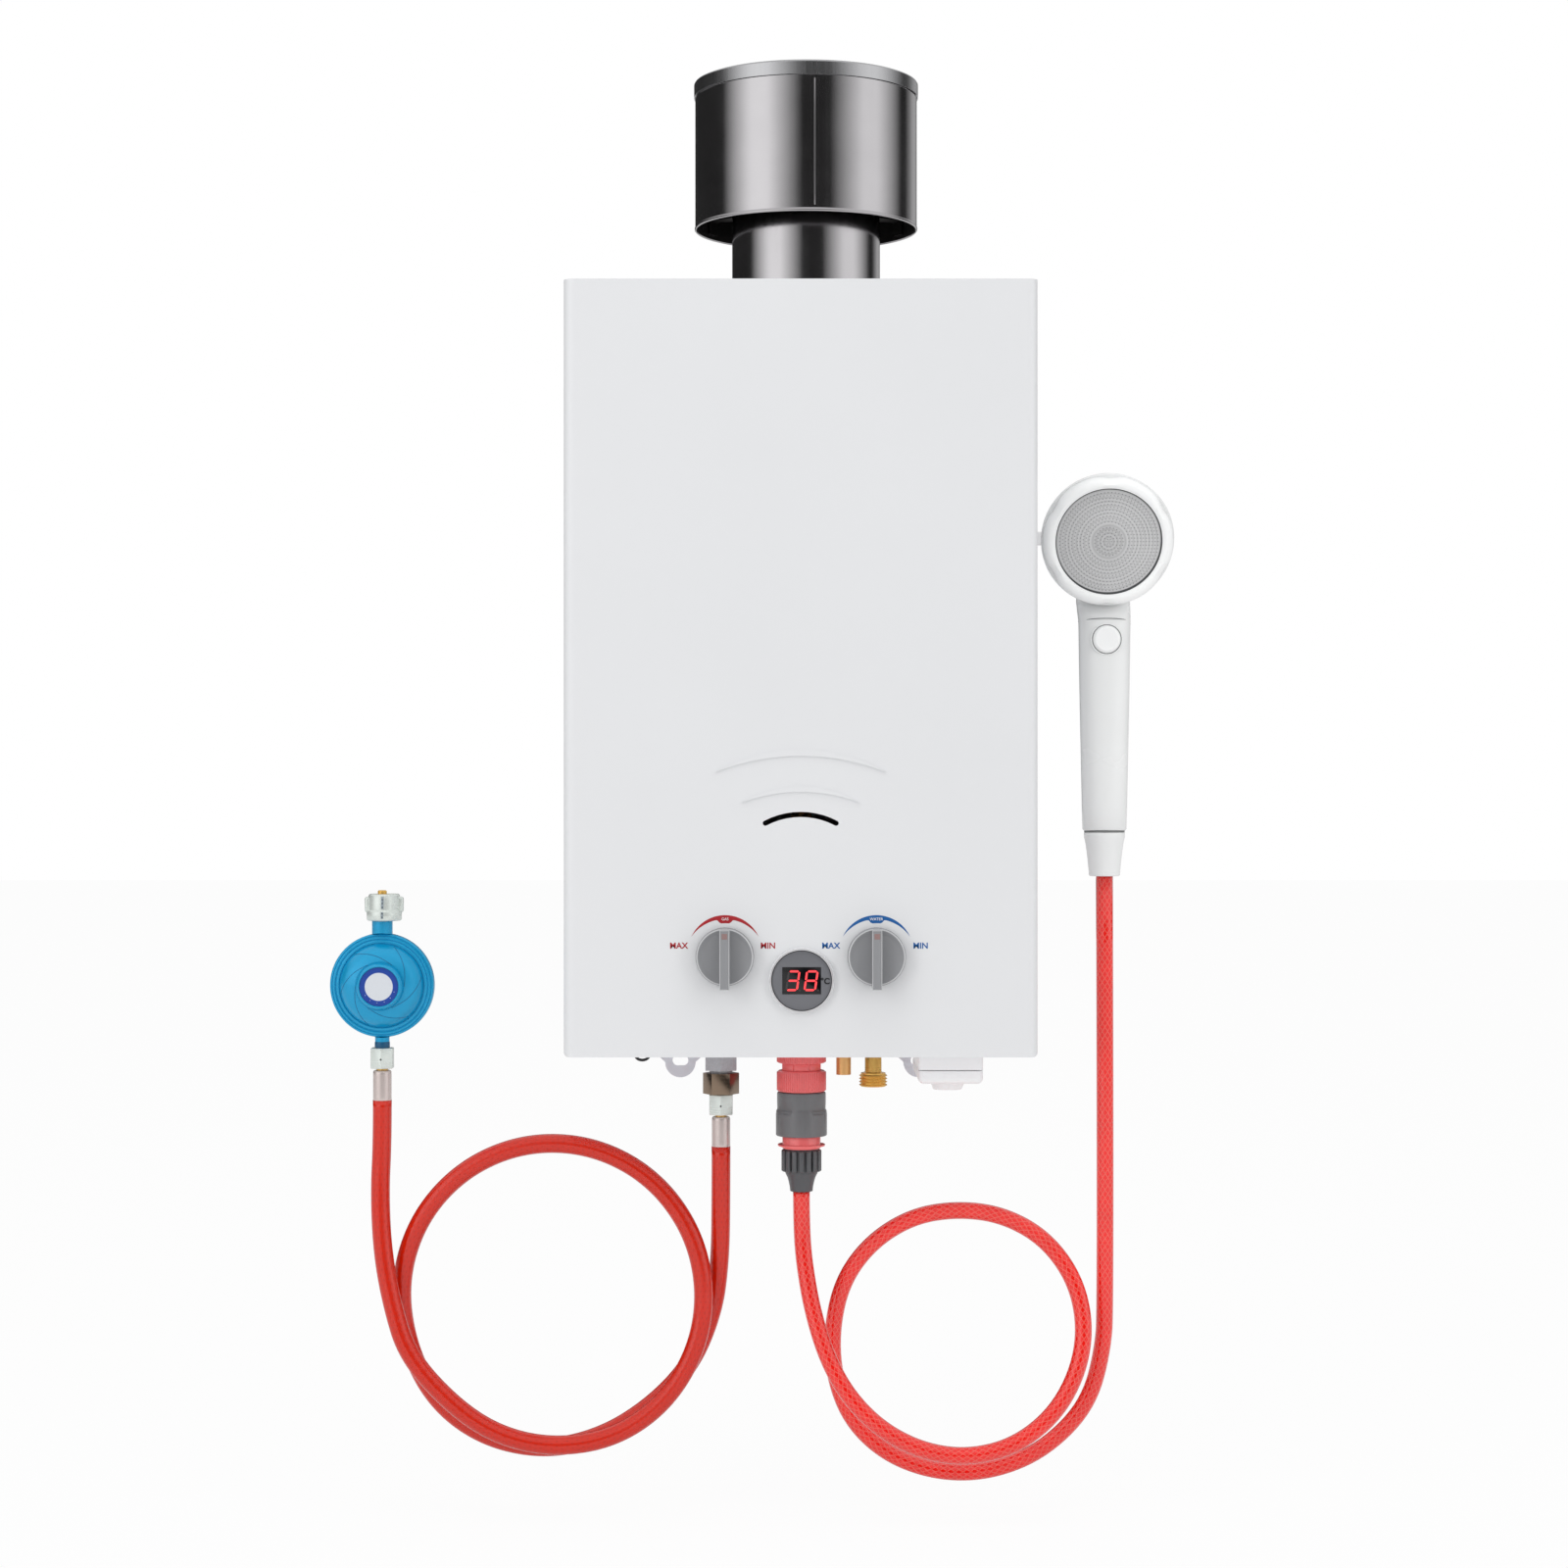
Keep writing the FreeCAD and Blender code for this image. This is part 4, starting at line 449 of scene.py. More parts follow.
def to_mesh(name, shape, matrix):
    clean(shape)
    mesh = bpy.data.meshes.new(name)
    shape.transform(matrix)
    shape.to_mesh(mesh)
    shape.free()
    return mesh


def rings_joined(shape, rings, closed_ends=True, ring_closed=True):
    """Skins a list of rings of points, each as long as the others."""
    rows = [[shape.verts.new(point) for point in ring] for ring in rings]
    count = len(rows[0])
    last = count if ring_closed else count - 1
    for low, high in zip(rows, rows[1:]):
        for number in range(last):
            beside = (number + 1) % count
            shape.faces.new((low[number], low[beside], high[beside], high[number]))
    if closed_ends:
        shape.faces.new(list(reversed(rows[0])))
        shape.faces.new(rows[-1])
    return rows


def turned_shape(profile, steps=96, lobes=None):
    """A closed outline of radius and height pairs, swept round its axis."""
    shape = bmesh.new()
    rows = []
    for radius, height in profile:
        if radius < 1e-6:
            rows.append([shape.verts.new((0, 0, height))])
            continue
        row = []
        for step in range(steps):
            angle = math.tau * step / steps
            reach = radius * (lobes(angle, radius) if lobes else 1)
            row.append(shape.verts.new((reach * math.cos(angle), reach * math.sin(angle), height)))
        rows.append(row)
    for low, high in zip(rows, rows[1:] + rows[:1]):
        join_rows(shape, low, high, steps)
    return shape


def join_rows(shape, low, high, steps):
    if len(low) == 1 and len(high) == 1:
        return
    for number in range(steps):
        beside = (number + 1) % steps
        if len(low) == 1:
            shape.faces.new((low[0], high[beside], high[number]))
        elif len(high) == 1:
            shape.faces.new((low[number], low[beside], high[0]))
        else:
            shape.faces.new((low[number], low[beside], high[beside], high[number]))


def solid(name, shape, matrix, node, **how):
    return new_piece(name, to_mesh(name, shape, matrix), node, **how)


def turned(name, profile, centre, node, turn=UPRIGHT, steps=96, lobes=None, edge=0.0, **how):
    """Adds a turned piece, with its edges rounded by edge or else left crisp."""
    piece = solid(name, turned_shape(profile, steps, lobes), placed(centre, turn), node, **how)
    if edge:
        return soft_edges(piece, edge)
    piece.data.set_sharp_from_angle(angle=SHARP)
    return piece


def block_shape(size, centre=(0, 0, 0), rounding=0.0, segments=3):
    shape = bmesh.new()
    bmesh.ops.create_cube(shape, size=1.0)
    bmesh.ops.scale(shape, vec=Vector(size), verts=shape.verts)
    bmesh.ops.translate(shape, vec=Vector(centre), verts=shape.verts)
    if rounding:
        bmesh.ops.bevel(
            shape, geom=shape.edges[:], offset=rounding, segments=segments, profile=0.5, affect="EDGES",
        )
    return shape


def plate_shape(points, thickness):
    """A flat plate with this outline of X and Z pairs, its front face at y 0 and its back behind."""
    shape = bmesh.new()
    count = len(points)
    front = [shape.verts.new((x, 0, z)) for x, z in points]
    back = [shape.verts.new((x, thickness, z)) for x, z in points]
    shape.faces.new(front)
    shape.faces.new(list(reversed(back)))
    for number in range(count):
        beside = (number + 1) % count
        shape.faces.new((front[number], back[number], back[beside], front[beside]))
    return shape


def frame_shape(outer, inner, thickness):
    """A flat rectangular frame in X and Z, its front face at y 0."""
    shape = bmesh.new()
    rows = []
    for (wide, tall), y in ((outer, 0), (outer, thickness), (inner, thickness), (inner, 0)):
        signs = ((-1, -1), (1, -1), (1, 1), (-1, 1))
        rows.append([shape.verts.new((x * wide / 2, y, z * tall / 2)) for x, z in signs])
    for low, high in zip(rows, rows[1:] + rows[:1]):
        for number in range(4):
            beside = (number + 1) % 4
            shape.faces.new((low[number], low[beside], high[beside], high[number]))
    return shape


def merged(name, meshes):
    """Several meshes as one."""
    shape = bmesh.new()
    for mesh in meshes:
        shape.from_mesh(mesh)
        bpy.data.meshes.remove(mesh)
    result = bpy.data.meshes.new(name)
    shape.to_mesh(result)
    shape.free()
    return result


def tube_mesh(name, path, radius, sides=20, closed=True):
    """A round tube along a path, in metres, with a UV map of turns round it and metres along it."""
    mesh = bpy.data.meshes.new(name)
    shape = bmesh.new()
    side = Vector((0, 1, 0))
    rows = []
    runs = [0.0]
    for number, point in enumerate(path):
        ahead = (path[min(number + 1, len(path) - 1)] - path[max(number - 1, 0)]).normalized()
        side = (side - ahead * side.dot(ahead)).normalized()
        up = ahead.cross(side)
        if number:
            runs.append(runs[-1] + (point - path[number - 1]).length)
        row = []
        for step in range(sides):
            angle = math.tau * step / sides
            row.append(shape.verts.new(point + (side * math.cos(angle) + up * math.sin(angle)) * radius))
        rows.append(row)
    layer = shape.loops.layers.uv.new("hose")
    for index, (low, high) in enumerate(zip(rows, rows[1:])):
        for number in range(sides):
            beside = (number + 1) % sides
            face = shape.faces.new((low[number], low[beside], high[beside], high[number]))
            turns = (number / sides, (number + 1) / sides, (number + 1) / sides, number / sides)
            lengths = (runs[index], runs[index], runs[index + 1], runs[index + 1])
            for loop, turn, length in zip(face.loops, turns, lengths):
                loop[layer].uv = (turn, length)
    if closed:
        shape.faces.new(list(reversed(rows[0])))
        shape.faces.new(rows[-1])
    bmesh.ops.recalc_face_normals(shape, faces=shape.faces)
    shape.to_mesh(mesh)
    shape.free()
    return mesh


def worked_out(holder):
    """The mesh of an object after its curve or its modifiers are worked out."""
    bpy.context.scene.collection.objects.link(holder)
    bpy.context.view_layer.update()
    graph = bpy.context.evaluated_depsgraph_get()
    return bpy.data.meshes.new_from_object(holder.evaluated_get(graph))


# Height of a capital as a share of the letters' size
CAPITAL_SHARE = 0.69


def lettering(name, words, centre, height, material, y, node, bold=0.0):
    """A printed word, as a thin mesh on a front face. Its capitals have the height given."""
    curve = bpy.data.curves.new(name, "FONT")
    curve.body = words
    curve.align_x = "CENTER"
    curve.align_y = "CENTER"
    curve.size = height / CAPITAL_SHARE
    curve.extrude = 0.04
    curve.offset = bold
    writer = bpy.data.objects.new(name, curve)
    mesh = worked_out(writer)
    bpy.data.objects.remove(writer)
    bpy.data.curves.remove(curve)
    mesh.transform(placed((centre[0], y, centre[1]), TO_FRONT))
    return new_piece(name, mesh, node, material, smooth=False)


# Geometry Nodes for what repeats round an axis


def round_tree():
    """A node tree that repeats its object round the Z axis, each copy turned to face outwards."""
    if "repeat_round" in bpy.data.node_groups:
        return bpy.data.node_groups["repeat_round"]
    tree = bpy.data.node_groups.new("repeat_round", "GeometryNodeTree")
    face = tree.interface
    face.new_socket("Geometry", in_out="INPUT", socket_type="NodeSocketGeometry")
    count = face.new_socket("Count", in_out="INPUT", socket_type="NodeSocketInt")
    count.default_value = 6
    face.new_socket("Radius", in_out="INPUT", socket_type="NodeSocketFloat")
    face.new_socket("Finish", in_out="INPUT", socket_type="NodeSocketMaterial")
    face.new_socket("Geometry", in_out="OUTPUT", socket_type="NodeSocketGeometry")
    add = tree.nodes.new
    link = tree.links.new
    entry = add("NodeGroupInput")
    leave = add("NodeGroupOutput")
    circle = add("GeometryNodeMeshCircle")
    spread = add("GeometryNodeInstanceOnPoints")
    index = add("GeometryNodeInputIndex")
    share = add("ShaderNodeMath")
    share.operation = "DIVIDE"
    share.inputs[0].default_value = math.tau
    angle = add("ShaderNodeMath")
    angle.operation = "MULTIPLY"
    spin = add("ShaderNodeCombineXYZ")
    real = add("GeometryNodeRealizeInstances")
    paint = add("GeometryNodeSetMaterial")
    link(entry.outputs["Count"], circle.inputs["Vertices"])
    link(entry.outputs["Radius"], circle.inputs["Radius"])
    link(circle.outputs["Mesh"], spread.inputs["Points"])
    link(entry.outputs["Geometry"], spread.inputs["Instance"])
    link(entry.outputs["Count"], share.inputs[1])
    link(index.outputs[0], angle.inputs[0])
    link(share.outputs[0], angle.inputs[1])
    link(angle.outputs[0], spin.inputs["Z"])
    link(spin.outputs[0], spread.inputs["Rotation"])
    link(spread.outputs["Instances"], real.inputs[0])
    link(real.outputs[0], paint.inputs["Geometry"])
    link(entry.outputs["Finish"], paint.inputs["Material"])
    link(paint.outputs[0], leave.inputs[0])
    return tree


def repeated_round(name, shape, count, radius, material, matrix):
    """Copies of a shape round an axis, made by the node tree and handed back as one plain mesh."""
    mesh = bpy.data.meshes.new(name)
    shape.to_mesh(mesh)
    shape.free()
    holder = bpy.data.objects.new(name, mesh)
    modifier = holder.modifiers.new("round", "NODES")
    modifier.node_group = round_tree()
    sockets = {
        item.name: item.identifier
        for item in modifier.node_group.interface.items_tree if item.in_out == "INPUT"
    }
    modifier[sockets["Count"]] = count
    modifier[sockets["Radius"]] = float(radius)
    modifier[sockets["Finish"]] = material
    result = worked_out(holder)
    holder.modifiers.remove(modifier)
    bpy.data.objects.remove(holder)
    bpy.data.meshes.remove(mesh)
    result.transform(matrix)
    return result


# Finishes of the CAD nodes


def slot_finishes():
    """The finish of every material slot of the record."""
    look = bpy.context.scene.heater_colours
    return {
        "white_steel": powder_coat("white_steel", tuple(look.case)),
        "zinc_steel": metal("zinc_steel", srgb(236, 240, 247), 0.4, (40.0, 40.0, 40.0), 0.08, 0.18),
        "polished_steel": metal("polished_steel", srgb(190, 188, 190), 0.15, (700.0, 700.0, 6.0), 0.04),
        "lid_steel": metal("lid_steel", srgb(190, 190, 192), 0.25, (900.0, 20.0, 20.0), 0.05),
        "grey_plastic": moulded("grey_plastic", tuple(look.knobs), 0.4),
        "chrome": metal("chrome", srgb(244, 244, 246), 0.14, (20.0, 20.0, 20.0), 0.0, 0.3),
        "dark_grey": moulded("dark_grey", srgb(112, 113, 118), 0.4),
        "black_gloss": moulded("black_gloss", srgb(14, 14, 17), 0.12, 0.0),
        "board_green": moulded("board_green", srgb(30, 90, 50), 0.5),
        "copper": metal("copper", srgb(248, 192, 124), 0.3, metallic=0.45),
        "brass": metal("brass", srgb(244, 196, 104), 0.26, (20.0, 20.0, 1200.0), 0.06, 0.55),
        "dark_nickel": metal("dark_nickel", srgb(150, 130, 112), 0.24, (20.0, 20.0, 900.0), 0.06),
        "cast_grey": casting("cast_grey", srgb(196, 196, 200)),
        "bright_zinc": metal("bright_zinc", srgb(226, 233, 228), 0.26, (30.0, 30.0, 1100.0), 0.05, 0.35),
        "die_cast": casting("die_cast", srgb(170, 172, 175)),
        "box_plastic": moulded("box_plastic", srgb(254, 254, 255), 0.3),
        "battery_skin": cell_wrap("battery_skin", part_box("batteries")[1].z - 0.02),
        "red_plastic": clear_plastic("red_plastic", tuple(look.connector)),
        "black_plastic": moulded("black_plastic", srgb(86, 87, 90), 0.34, 0.12),
        "clear_red_hose": clear_hose("clear_red_hose", tuple(look.shower_hose), srgb(255, 160, 140)),
        "orange_hose": rubber_hose("orange_hose", tuple(look.gas_hose)),
        "shell_grey": moulded("shell_grey", srgb(242, 243, 243), 0.26),
        "ring_white": moulded("ring_white", srgb(253, 254, 254), 0.3),
        "blue_metal": blue_paint("blue_metal", tuple(look.regulator)),
        "label": label_print(
            "label", tuple(middle("regulator_label") * MM), srgb(20, 66, 160), srgb(214, 218, 224), 0.0082,
        ),
        "black_rubber": moulded("black_rubber", srgb(30, 30, 32), 0.6, 0.3),
    }


@once
def blue_paint(shade, colour):
    """Metallic paint: fine flakes in the colour under a clear coat."""
    flakes = shade.noise(2600.0, detail=1.0)
    return shade.surface(
        base_color=shade.blend(flakes, darker(colour, 0.82), colour),
        metallic=0.25,
        roughness=flakes * 0.14 + 0.26,
        coat_weight=0.25,
        normal=shade.bump(flakes, 0.08, 0.0001),
    )


FINISHES = {}


def finish(node):
    """The finish of a CAD node's slot."""
    return FINISHES[SLOTS[node]]


def dress_nodes(*names, bevel=0.0, material=None):
    """Gives CAD nodes their slot's finish, or another, and smooth shading between true edges."""
    for name in names:
        node = NODES[name]
        node.data.materials.clear()
        node.data.materials.append(material or finish(name))
        node.data.polygons.foreach_set("use_smooth", [True] * len(node.data.polygons))
        weld = node.modifiers.new("weld", "WELD")
        weld.merge_threshold = 1e-6
        if bevel:
            soft_edges(node, bevel)
        else:
            split = node.modifiers.new("edges", "EDGE_SPLIT")
            split.split_angle = math.radians(28)


# What a user would change


COLOUR = {"subtype": "COLOR", "size": 4, "min": 0, "max": 1}


class HeaterSizes(bpy.types.PropertyGroup):
    rib_count: bpy.props.IntProperty(
        name="Ring ribs", description="Ribs round each red ring of the water outlet",
        default=64, min=24, max=120,
    )
    groove_count: bpy.props.IntProperty(
        name="Clamp nut ribs", description="Coarse ribs round the black hose nut",
        default=16, min=8, max=40,
    )
    hole_rings: bpy.props.IntProperty(
        name="Spray rings", description="Rings of holes in the spray plate",
        default=17, min=3, max=18,
    )
    hole_radius: bpy.props.FloatProperty(
        name="Spray hole", description="Radius of a spray hole, in millimetres",
        default=0.3, min=0.1, max=1.0,
    )
    letter_height: bpy.props.FloatProperty(
        name="Letter height", description="Height of MAX and MIN, in millimetres",
        default=3.3, min=1, max=6,
    )
    temperature: bpy.props.StringProperty(
        name="Temperature", description="Number that the display shows",
        default="38", maxlen=2,
    )


class HeaterColours(bpy.types.PropertyGroup):
    case: bpy.props.FloatVectorProperty(
        name="Case", description="Powder coat of the case", default=srgb(228, 229, 231), **COLOUR,
    )
    knobs: bpy.props.FloatVectorProperty(
        name="Knobs", description="Satin grey of both knobs", default=srgb(144, 145, 148), **COLOUR,
    )
    gas_hose: bpy.props.FloatVectorProperty(
        name="Gas hose", description="Orange rubber of the gas hose", default=srgb(214, 34, 3), **COLOUR,
    )
    shower_hose: bpy.props.FloatVectorProperty(
        name="Shower hose", description="Clear red of the shower hose", default=srgb(254, 22, 10), **COLOUR,
    )
    connector: bpy.props.FloatVectorProperty(
        name="Connector", description="Clear red of the outlet", default=srgb(255, 122, 122), **COLOUR,
    )
    regulator: bpy.props.FloatVectorProperty(
        name="Regulator", description="Metallic blue of the regulator", default=srgb(4, 164, 216), **COLOUR,
    )


# Stage


class HEATER_OT_stage(bpy.types.Operator):
    """Sets the camera, the lights, the world and a plain pale floor"""

    bl_idname = "heater.stage"
    bl_label = "Stage"

    def execute(self, context):
        scene = context.scene
        scene.view_settings.view_transform = "Standard"
        lens = bpy.data.cameras.new("photo_camera")
        lens.sensor_width = 36.0
        lens.lens = 36.0 * CAMERA_FOCUS / PHOTO_WIDTH
        lens.clip_end = 50
        camera = bpy.data.objects.new("photo_camera", lens)
        camera.location = Vector(CAMERA_PLACE) * MM
        camera.rotation_euler = (math.radians(90), 0, 0)
        scene.collection.objects.link(camera)
        scene.camera = camera
        self.lights(scene)
        self.world(scene)
        self.floor()
        return {"FINISHED"}

    @staticmethod
    def lights(scene):
        """Two tall soft boxes beside the camera and one above, which metal doesn't mirror."""
        for name, place, aim, size, power in (
            ("left_box", (-1.5, -1.9, 0.5), (0, 0, 0), (0.9, 2.2), 11.0),
            ("right_box", (1.7, -1.7, 0.4), (0, 0, 0), (0.8, 2.2), 8.0),
            ("top_box", (0.0, -0.8, 2.0), (0, -0.05, 0), (2.0, 1.0), 10.0),
        ):
            lamp = bpy.data.lights.new(name, "AREA")
            lamp.shape = "RECTANGLE"
            lamp.size, lamp.size_y = size
            lamp.energy = power
            holder = bpy.data.objects.new(name, lamp)
            holder.location = place
            holder.rotation_euler = (Vector(aim) - Vector(place)).to_track_quat("-Z", "Y").to_euler()
            holder.visible_glossy = False
            scene.collection.objects.link(holder)

    @staticmethod
    def world(scene):
        """A pale room that metal sees as the upright soft boxes and dark gaps of a studio."""
        world = bpy.data.worlds.new("pale_room")
        scene.world = world
        shade = Shade(world)
        paths = shade.add("ShaderNodeLightPath")
        camera = Wire(shade, paths.outputs["Is Camera Ray"])
        glossy = Wire(shade, paths.outputs["Is Glossy Ray"])
        across, deep, up = shade.parts(shade.place("Generated"))
        bearing = across.maths("ARCTAN2", deep * -1.0) * (1 / math.tau) + 0.5
        levels = [(-180, STUDIO_DARK)]
        for angle, half, level in STUDIO_BOXES:
            levels.append((angle - half, STUDIO_DARK))
            levels.extend(((angle - half / 5, level), (angle + half / 5, level)))
            levels.append((angle + half, STUDIO_DARK))
        levels.append((180, STUDIO_DARK))
        stops = [(angle / 360 + 0.5, srgb(level, level, level)) for angle, level in levels]
        bands = shade.out("ShaderNodeValToRGB", {"stops": stops}, {0: bearing})
        ceiling = up.step(0.3, 0.6)
        mirror = bands * BAND_GAIN * (1 - ceiling) + ceiling * CEILING_LEVEL
        level = camera + (1 - camera) * (glossy * mirror + (1 - glossy) * ROOM_LEVEL)
        ground = shade.out("ShaderNodeBackground", None, {"Color": (1, 1, 1, 1), "Strength": level})
        shade.add("ShaderNodeOutputWorld", None, {"Surface": ground})

    @staticmethod
    def floor():
        mesh = bpy.data.meshes.new("floor")
        reach = 12.0
        level = FLOOR_LEVEL * MM
        points = [
            (-reach, -reach, level), (reach, -reach, level), (reach, reach, level), (-reach, reach, level),
        ]
        mesh.from_pydata(points, [], [(0, 1, 2, 3)])
        shade = Shade(bpy.data.materials.new("pale_floor"))
        paint = shade.out("ShaderNodeBsdfDiffuse", None, {"Color": (0.86, 0.86, 0.86, 1)})
        light = shade.out("ShaderNodeEmission", None, {"Color": (1, 1, 1, 1), "Strength": 1.0})
        seen = shade.out("ShaderNodeLightPath", output="Is Camera Ray")
        both = shade.out("ShaderNodeMixShader", None, {0: seen * 0.93, 1: paint, 2: light})
        shade.add("ShaderNodeOutputMaterial", None, {"Surface": both})
        mesh.materials.append(shade.owner)
        plane = bpy.data.objects.new("floor", mesh)
        bpy.context.scene.collection.objects.link(plane)


# Upright soft boxes that metal mirrors: degrees from the camera's side, half width and brightness
STUDIO_BOXES = ((-50, 45, 220), (70, 45, 205), (150, 25, 140))
STUDIO_DARK = 30
BAND_GAIN = 1.94
CEILING_LEVEL = 0.85
ROOM_LEVEL = 0.74
PHOTO_WIDTH = 1600
CAMERA_FOCUS = 3143.5
CAMERA_PLACE = (-9.5, -1890.0, -65.9)
FLOOR_LEVEL = -500.0


# Hoses. The routes repeat the source's points, in millimetres


GAS_ROUTE = (
    (-246.8, -70, -252.6), (-246.8, -70, -277.8), (-248.1, -71.5, -306.6), (-246.2, -74, -341.5),
    (-240.2, -77, -372.2), (-230.6, -80, -402.2), (-203.2, -81, -431.8), (-175.9, -81.5, -449.0),
    (-143.9, -81.5, -455.5), (-109.5, -81, -450.1), (-80.4, -80, -430.6), (-61.0, -78.5, -399.9),
    (-55.1, -77, -364.4), (-63.7, -75, -328.0), (-87.7, -73, -297.0), (-122.7, -71, -279.1),
    (-162.2, -69, -277.6), (-198.8, -67, -293.0), (-225.7, -65, -322.3), (-237.9, -63, -360.3),
    (-233.1, -61, -400.0), (-216.0, -60, -433.1), (-187.0, -59.5, -454.4), (-150.4, -59, -461.8),
    (-116.4, -59, -453.5), (-87.5, -59, -435.2), (-64.6, -59.5, -410.9), (-51.4, -61.5, -378.8),
    (-47.4, -66, -348.5), (-46.7, -70, -313.9), (-46.7, -70, -279.95),
)
SHOWER_ROUTE = (
    (0.8, -70, -306.25), (0.8, -70, -326.6), (2.5, -72, -349.3), (7.5, -78, -377.2),
    (16.5, -85, -404.5), (30, -89.5, -426.7), (49.5, -91, -444.8), (73.5, -91, -456.2),
    (99.3, -90, -459.5), (126.4, -88, -452.9), (149.5, -85.5, -435), (163.6, -82.5, -409.7),
    (167.6, -79, -382.8), (161.5, -74, -356.5), (144.7, -67.5, -334.4), (120.9, -60.5, -321.9),
    (94.5, -54, -319.1), (67.2, -50, -324), (42.7, -49, -339.4), (25.7, -49, -362.2),
    (19, -49, -390.9), (20.4, -49, -420.2), (30.9, -49, -446.6), (51.4, -49, -465.9),
    (78.4, -49.5, -476.3), (107.5, -51, -477.2), (136, -54, -467.7), (158.3, -58, -449.9),
    (172.5, -61.5, -429.3), (179, -65, -402.3), (180.9, -68, -375.7), (180, -68, -120.3),
)


class HEATER_OT_hoses(bpy.types.Operator):
    """Makes the gas hose and the shower hose at their real length"""

    bl_idname = "heater.hoses"
    bl_label = "Hoses"

    def execute(self, context):
        self.hose("gas_line", GAS_ROUTE, 5.6, "gas_hose", ("hose_ferrules", "regulator_hose_nut"))
        self.hose("shower_line", SHOWER_ROUTE, 5.0, "shower_hose", ())
        return {"FINISHED"}

    def hose(self, name, route, radius, node, on_it):
        path = self.centreline(name, route)
        mesh = tube_mesh(name, path, radius * MM, sides=24)
        piece = new_piece(name, mesh, node, replaces=True)

    @staticmethod
    def centreline(name, route):
        """Points along one smooth spline whose control points are the route."""
        curve = bpy.data.curves.new(name, "CURVE")
        curve.dimensions = "3D"
        spline = curve.splines.new("NURBS")
        spline.points.add(len(route) - 1)
        for point, place in zip(spline.points, route):
            point.co = (*(value * MM for value in place), 1.0)
        spline.order_u = 3
        spline.use_endpoint_u = True
        spline.resolution_u = 12
        holder = bpy.data.objects.new(name, curve)
        line = worked_out(holder)
        path = [vertex.co.copy() for vertex in line.vertices]
        bpy.data.objects.remove(holder)
        bpy.data.curves.remove(curve)
        bpy.data.meshes.remove(line)
        return path


# Case and rain cap


class HEATER_OT_case(bpy.types.Operator):
    """Finishes the case, the rear panel and the rain cap"""

    bl_idname = "heater.case"
    bl_label = "Case and rain cap"

    def execute(self, context):
        dress_nodes("front_cover", "rear_panel", "bottom_plate", "cover_screws")
        self.wire()
        axis = middle("flue_pipe")
        centre = (axis.x, axis.y, 0)
        self.pipe(centre)
        self.cap(centre)
        return {"FINISHED"}

    @staticmethod
    def wire():
        """The loop of the ignition wire that hangs under the case."""
        low, high = corners("ignition_wire")
        side, reach, foot = (low.x + high.x) / 2, (high.x - low.x) / 2 - 0.6, low.z - 3.6
        path = []
        for step in range(25):
            angle = math.pi * step / 24
            path.append(
                Vector(
                    (
                        side - reach * math.cos(angle), STACK_Y,
                        low.z - (low.z - foot) * math.sin(angle) ** 0.8,
                    )
                ) * MM
            )
        path.insert(0, Vector((side - reach, STACK_Y, high.z)) * MM)
        path.append(Vector((side + reach, STACK_Y, high.z)) * MM)
        mesh = tube_mesh("wire_loop", path, 0.85 * MM, sides=12)
        new_piece("wire_loop", mesh, "ignition_wire", replaces=True)

    @staticmethod
    def pipe(centre):
        low, high = (corner.z for corner in corners("flue_pipe"))
        flange = width("flue_pipe") / 2
        hood = corners("flue_hood")[1].z
        radius, wall = 43.6, 0.8
        top = corners("front_cover")[1].z - 1.1
        profile = (
            (radius - wall, low), (radius, low), (radius, top - 6), (radius + 1.2, top - 6),
            (radius + 1.2, top - 1.2), (flange, top - 1.2), (flange, top), (radius, top),
            (radius, hood + 20), (radius, high), (radius - wall, high),
        )
        turned("flue_tube", profile, centre, "flue_pipe", steps=160, edge=0.2, replaces=True)

    @staticmethod
    def cap(centre):
        low, high = (corner.z for corner in corners("cap_skirt"))
        bead = width("cap_skirt") / 2
        radius = bead - 0.9
        profile = (
            (radius - 0.8, low + 0.4), (radius - 0.5, low), (radius, low), (radius + 0.3, low + 0.4),
            (radius + 0.3, low + 1.2), (radius, low + 1.6), (radius, low + 2.2), (radius, high - 2.3),
            (radius - 0.5, high - 2.2), (radius - 0.5, high), (radius - 0.8, high),
        )
        turned("rain_skirt", profile, centre, "cap_skirt", steps=160, replaces=True)
        # The thin dark ring inside the skirt and the dark brackets under the lid are painted shade inside the rain
        # cap.
        inner_shade_profile = (
            (radius - 0.95, low + 0.7), (radius - 0.82, low + 0.7), (radius - 0.82, high),
            (radius - 0.95, high),
        )
        shadow = metal("shaded_steel", srgb(60, 58, 58), 0.45)
        dress_nodes("cap_brackets", material=shadow)
        turned("skirt_inner_shade", inner_shade_profile, centre, "cap_skirt", steps=160, material=shadow)
        seam = block_shape((0.5, 0.7, high - low - 7), (0, 0, 0), 0.15)
        angle = math.radians(-86)
        place = (
            centre[0] + radius * math.cos(angle), centre[1] + radius * math.sin(angle), (low + high) / 2,
        )
        solid("skirt_seam", seam, placed(place, Matrix.Rotation(angle, 4, "Z")), "cap_skirt")
        base, crown = (corner.z for corner in corners("cap_lid"))
        reach = width("cap_lid") / 2
        drop = 1.3
        lid = (
            (reach - 0.55, base), (reach - 0.55, base - drop), (reach, base - drop),
            (reach, base - drop + 0.4), (reach, crown - 1.3), (reach, crown - 0.9),
            (reach - 0.35, crown - 0.35), (reach - 1.1, crown - 0.05), (reach - 12, crown), (0, crown),
            (0, crown - 1), (reach - 3, crown - 1.2), (reach - 3, base),
        )
        turned("rain_lid", lid, centre, "cap_lid", steps=160, replaces=True)


# Knobs, prints and display


RED_INK = srgb(172, 22, 34)
BLUE_INK = srgb(6, 92, 162)


